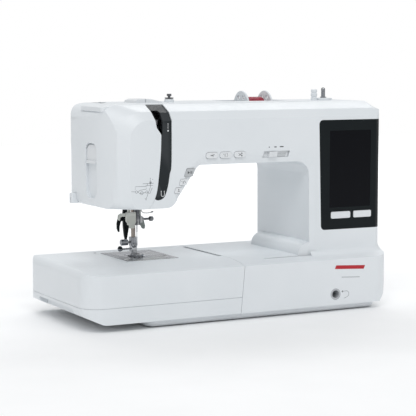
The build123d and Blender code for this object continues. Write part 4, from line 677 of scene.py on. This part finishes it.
def needle_threader():
    """Ivory threader: a tapered block with a hooked finger, on its slide rod."""
    low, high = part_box("needle_threader")
    width = (high.x - low.x) / MM
    at = plane((high.x, low.y + 4.0 * MM, low.z), EAST, UP)
    body = ((-14.6, 22.0), (-14.6, 10.0), (-11.6, 6.6), (-9.4, 3.2), (-9.0, 0.0), (-2.2, 0.0),
            (-1.6, 5.6), (0.0, 8.0), (0.0, 22.0))
    hook = ((-13.0, 21.0), (4.0 - width, 21.0), (0.6 - width, 18.6), (0.2 - width, 12.6),
            (3.4 - width, 11.0), (4.2 - width, 15.0), (7.0 - width, 16.6), (-13.0, 16.2))
    rib = ((-13.2, 20.4), (-13.2, 17.6), (-1.4, 17.6), (-1.4, 20.4))
    obj = marks("threader_body", at, "threader", "ivory_plastic",
                shapes=(body,), top=3.6)
    soften(obj, 0.5)
    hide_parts("needle_threader")
    finger = marks("threader_finger", at, "threader", "ivory_plastic",
                   shapes=(hook,), top=1.6)
    soften(finger, 0.35)
    raised = plane((high.x, low.y + 0.5 * MM, low.z), EAST, UP)
    ridge = marks("threader_rib", raised, "threader", "ivory_plastic",
                  shapes=(rib,), top=0.5)
    soften(ridge, 0.2)
    rod_low = Vector((high.x - 6.6 * MM, low.y + 9.5 * MM, low.z + 4.0 * MM))
    rod_top = (high.z - rod_low.z) / MM
    lathe("threader_rod", rod_low, UP, ((0.0, 0.0), (2.4, 0.0), (2.4, rod_top), (0.0, rod_top)),
          "threader", "ivory_plastic", 20)


def clamp_screw():
    """Needle clamp screw: collar, slim neck and a domed head, its driver slot a near-black slab of painted
    shade set in the head.
    """
    low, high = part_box("clamp_screw")
    mid = (low + high) / 2
    reach = (high.x - low.x) / MM
    base = Vector((low.x, mid.y, mid.z))
    head = reach - 5.6
    obj = lathe("clamp_screw_turned", base, EAST,
                ((0.0, 0.0), (1.4, 0.0), (1.4, 6.2), (2.9, 6.2), (2.9, 8.2), (1.5, 8.4), (1.5, head - 1.0),
                 (2.6, head - 0.6), (3.4, head + 0.4), (3.5, head + 3.4), (2.9, head + 4.8), (1.4, reach),
                 (0.0, reach)),
                "clamp_screw", "dark_steel", 32)
    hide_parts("clamp_screw")
    # The slot is not cut: a near-black slab in the head paints the shade of a driver slot.
    end = plane((high.x, mid.y, mid.z), NORTH, UP)
    cut = ((-2.7, -0.35), (2.7, -0.35), (2.7, 0.35), (-2.7, 0.35))
    bm = bmesh.new()
    slab_face(bm, cut, end, -1.4, -0.35)
    piece("clamp_screw_slot_shade", bm, "clamp_screw", "dark_plastic")


def foot_details():
    """Black ball on the foot's lever, its front screw, and the grey-green tab behind the needle."""
    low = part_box("presser_foot")[0]
    left = Vector((low.x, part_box("presser_bar")[0].y + 3.0 * MM, low.z + 9.2 * MM))
    wide, deep = 3.55, 3.4
    angles = [math.radians(a) for a in range(0, 181, 15)]
    ball = [(wide * math.sin(a), deep - deep * math.cos(a)) for a in angles]
    lathe("foot_knob", left, EAST, ball, "presser", "charcoal_plastic", 28)
    hold_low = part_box("foot_holder")[0]
    mid_x = (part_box("needle")[0].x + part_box("needle")[1].x) / 2
    face = (mid_x - 0.4 * MM, hold_low.y + 0.8 * MM, hold_low.z + 0.6 * MM)
    screw("foot_screw", face, (0, -1, 0), 3.4, "presser")
    head_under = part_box("face_cover")[0].z
    tab = plane((mid_x + 7.0 * MM, hold_low.y, head_under), EAST, UP)
    outline = ((-1.0, 3.0), (2.0, 3.0), (2.0, -22.0), (6.0, -24.0), (8.6, -34.0), (7.4, -38.0),
               (3.6, -37.0), (0.4, -31.0), (-1.0, -24.0))
    guard = marks("guard_tab", tab, CHASSIS, "tab_green", shapes=(outline,), top=1.4)
    soften(guard, 0.4)


def lifter_lever():
    """Black lifter lever: a long prong and a short hooked one, in place of the plain arm."""
    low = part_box("presser_lifter_lever")[0]
    reach = (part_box("face_cover")[0].z - low.z) / MM
    front = plane((low.x, low.y + 9.0 * MM, low.z), EAST, UP)
    prong = ((3.0, reach + 2.0), (0.6, reach - 7.0), (-0.3, reach * 0.62), (0.2, reach * 0.36),
             (1.6, reach * 0.14), (3.4, 0.2), (4.8, 0.6), (6.6, reach * 0.16), (8.6, reach * 0.36),
             (8.8, reach * 0.55), (6.6, reach * 0.75), (6.2, reach + 2.0))
    obj = marks("lifter_prong", front, "lifter", "dark_plastic", shapes=(prong,), top=5.0)
    soften(obj, 0.8)
    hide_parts("presser_lifter_lever")
    hook = ((1.0, reach * 0.68), (-3.5, reach * 0.66), (-7.4, reach * 0.57), (-9.2, reach * 0.44),
            (-9.0, reach * 0.31), (-6.8, reach * 0.22), (-5.2, reach * 0.23), (-5.0, reach * 0.36),
            (-3.2, reach * 0.48), (1.0, reach * 0.52))
    second = marks("lifter_hook", front, "lifter", "dark_plastic",
                   shapes=(hook,), top=3.4)
    soften(second, 0.8)


def thread_stud():
    """White base round the metal stud on the deck."""
    low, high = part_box("pretension_disc")
    mid = (low + high) / 2
    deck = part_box("top_cover")[1].z
    lathe("stud_base", (mid.x, mid.y, deck - 0.3 * MM), UP,
          ((0.0, 0.0), (6.8, 0.0), (6.8, 3.2), (6.0, 4.4), (4.6, 4.6), (0.0, 4.6)),
          CHASSIS, "white_plastic", 40)


SCALE_MID_Z = 203.0


def pressure_marks():
    """Small scale printed beside the slider on the head's left end."""
    low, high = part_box("pressure_slider")
    spot = (high.x - 2.2 * MM, (low.y + high.y) / 2 + 23.5 * MM, SCALE_MID_Z * MM)
    side = plane(spot, (0.126, -0.992, 0), UP)
    rows = [((-0.7, -7.0 + 2.3 * i), (0.7, -7.0 + 2.3 * i)) for i in range(7)]
    marks("pressure_scale", side, CHASSIS, "ink_grey", rows, width=0.6, top=0.2)


# ---------- winder ----------
def winder_stopper():
    """Scalloped knob that stops the winder, in place of its plain post."""
    low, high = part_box("bobbin_stopper")
    mid = (low + high) / 2
    tall = (high.z - low.z) / MM
    radius = (high.x - low.x) / MM / 2
    neck_top = tall - 16.0
    profile = ((0.54, 0.0), (0.54, neck_top), (1.0, neck_top), (1.0, neck_top + 3.4),
               (0.8, neck_top + 4.4), (0.8, neck_top + 5.0), (1.0, neck_top + 6.0), (1.0, neck_top + 9.6),
               (0.8, neck_top + 10.6), (0.8, neck_top + 11.2), (0.97, neck_top + 12.2),
               (0.97, neck_top + 14.4), (0.86, tall - 0.5), (0.6, tall))
    obj = lathe("stopper_knob", (mid.x, mid.y, low.z), UP,
                [(radius * share, height) for share, height in profile],
                CHASSIS, "white_plastic", 40)
    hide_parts("bobbin_stopper")


# ---------- back ------------------------
ARM_BACK = 68.0
REAR_SCREWS_AT = ((-120.0, 185.0), (-60.0, 196.0), (185.0, 120.0))


def rear_details():
    """Cover screws on the back of the head, arm and column."""
    for number, (x, z) in enumerate(REAR_SCREWS_AT):
        screw(f"rear_screw_{number}", (x * MM, ARM_BACK * MM, z * MM), NORTH, 3.2, CHASSIS)


# ---------- stage ----------
FLOOR_HALF = 3.7
CAMERA_AT = (-0.9595, -1.807, 0.353)
CAMERA_YAW = 27.8
CAMERA_PITCH = 5.87
CAMERA_LENS = 127.04
CAMERA_FAR = 50.0
SENSOR_WIDTH = 36.0
SKY_STRENGTH = 0.56
FRONT_POWER = 102.0
REAR_POWER = 105.0


def studio_floor():
    """Plain pale floor with a slight tone so that it isn't one flat colour."""
    bm = bmesh.new()
    signs = ((-1, -1), (1, -1), (1, 1), (-1, 1))
    bm.faces.new([bm.verts.new((x * FLOOR_HALF, y * FLOOR_HALF, 0.0)) for x, y in signs])
    mesh = bpy.data.meshes.new("studio_floor")
    bm.to_mesh(mesh)
    bm.free()
    floor = bpy.data.objects.new("studio_floor", mesh)
    bpy.context.scene.collection.objects.link(floor)
    paint = plastic("floor_paint", (0.955, 0.958, 0.96), (0.975, 0.977, 0.98), 0.9, 300.0, 0.01)
    mesh.materials.append(paint)


def area_light(name, at, aim, size, power, colour=(1.0, 1.0, 1.0)):
    """A soft rectangular lamp turned towards a point."""
    data = bpy.data.lights.new(name, "AREA")
    data.shape = "RECTANGLE"
    data.size, data.size_y = size
    data.energy = power
    data.color = colour
    lamp = bpy.data.objects.new(name, data)
    bpy.context.scene.collection.objects.link(lamp)
    lamp.location = at
    lamp.rotation_euler = (Vector(aim) - Vector(at)).to_track_quat("-Z", "Y").to_euler()


def studio():
    """White paper behind, even sky light, and two softboxes."""
    world = bpy.data.worlds.new("studio")
    bpy.context.scene.world = world
    world.use_nodes = True
    tree = world.node_tree
    sky = tree.nodes["Background"]
    sky.inputs["Color"].default_value = (0.98, 0.99, 1.0, 1.0)
    sky.inputs["Strength"].default_value = SKY_STRENGTH
    paper = tree.nodes.new("ShaderNodeBackground")
    paper.inputs["Color"].default_value = (1.0, 1.0, 1.0, 1.0)
    seen = tree.nodes.new("ShaderNodeLightPath")
    mix = tree.nodes.new("ShaderNodeMixShader")
    tree.links.new(seen.outputs["Is Camera Ray"], mix.inputs["Fac"])
    tree.links.new(sky.outputs["Background"], mix.inputs[1])
    tree.links.new(paper.outputs["Background"], mix.inputs[2])
    tree.links.new(mix.outputs["Shader"], tree.nodes["World Output"].inputs["Surface"])
    bpy.context.scene.view_settings.view_transform = "Standard"
    area_light("front_softbox", (-1.3, -3.0, 4.2), (0.0, 0.0, 0.1), (3.4, 2.2), FRONT_POWER,
               (0.985, 0.993, 1.0))
    area_light("rear_softbox", (1.3, 2.7, 2.9), (1.5, 3.3, 0.0), (4.4, 2.4), REAR_POWER)


def camera():
    """Long lens from the front left, a little above the bed."""
    data = bpy.data.cameras.new("camera")
    data.sensor_width = SENSOR_WIDTH
    data.lens = CAMERA_LENS
    data.clip_end = CAMERA_FAR
    eye = bpy.data.objects.new("camera", data)
    bpy.context.scene.collection.objects.link(eye)
    eye.location = CAMERA_AT
    eye.rotation_euler = (math.radians(90.0 - CAMERA_PITCH), 0.0, math.radians(-CAMERA_YAW))
    bpy.context.scene.camera = eye


camera()
studio()
studio_floor()
finish_nodes()
spool()
key_icons()
slider_details()
threading_diagram()
trim_marks()
bed_marks()
plate_details()
wire_guide()
needle_threader()
lifter_lever()
clamp_screw()
foot_details()
thread_stud()
pressure_marks()
winder_stopper()
rear_details()
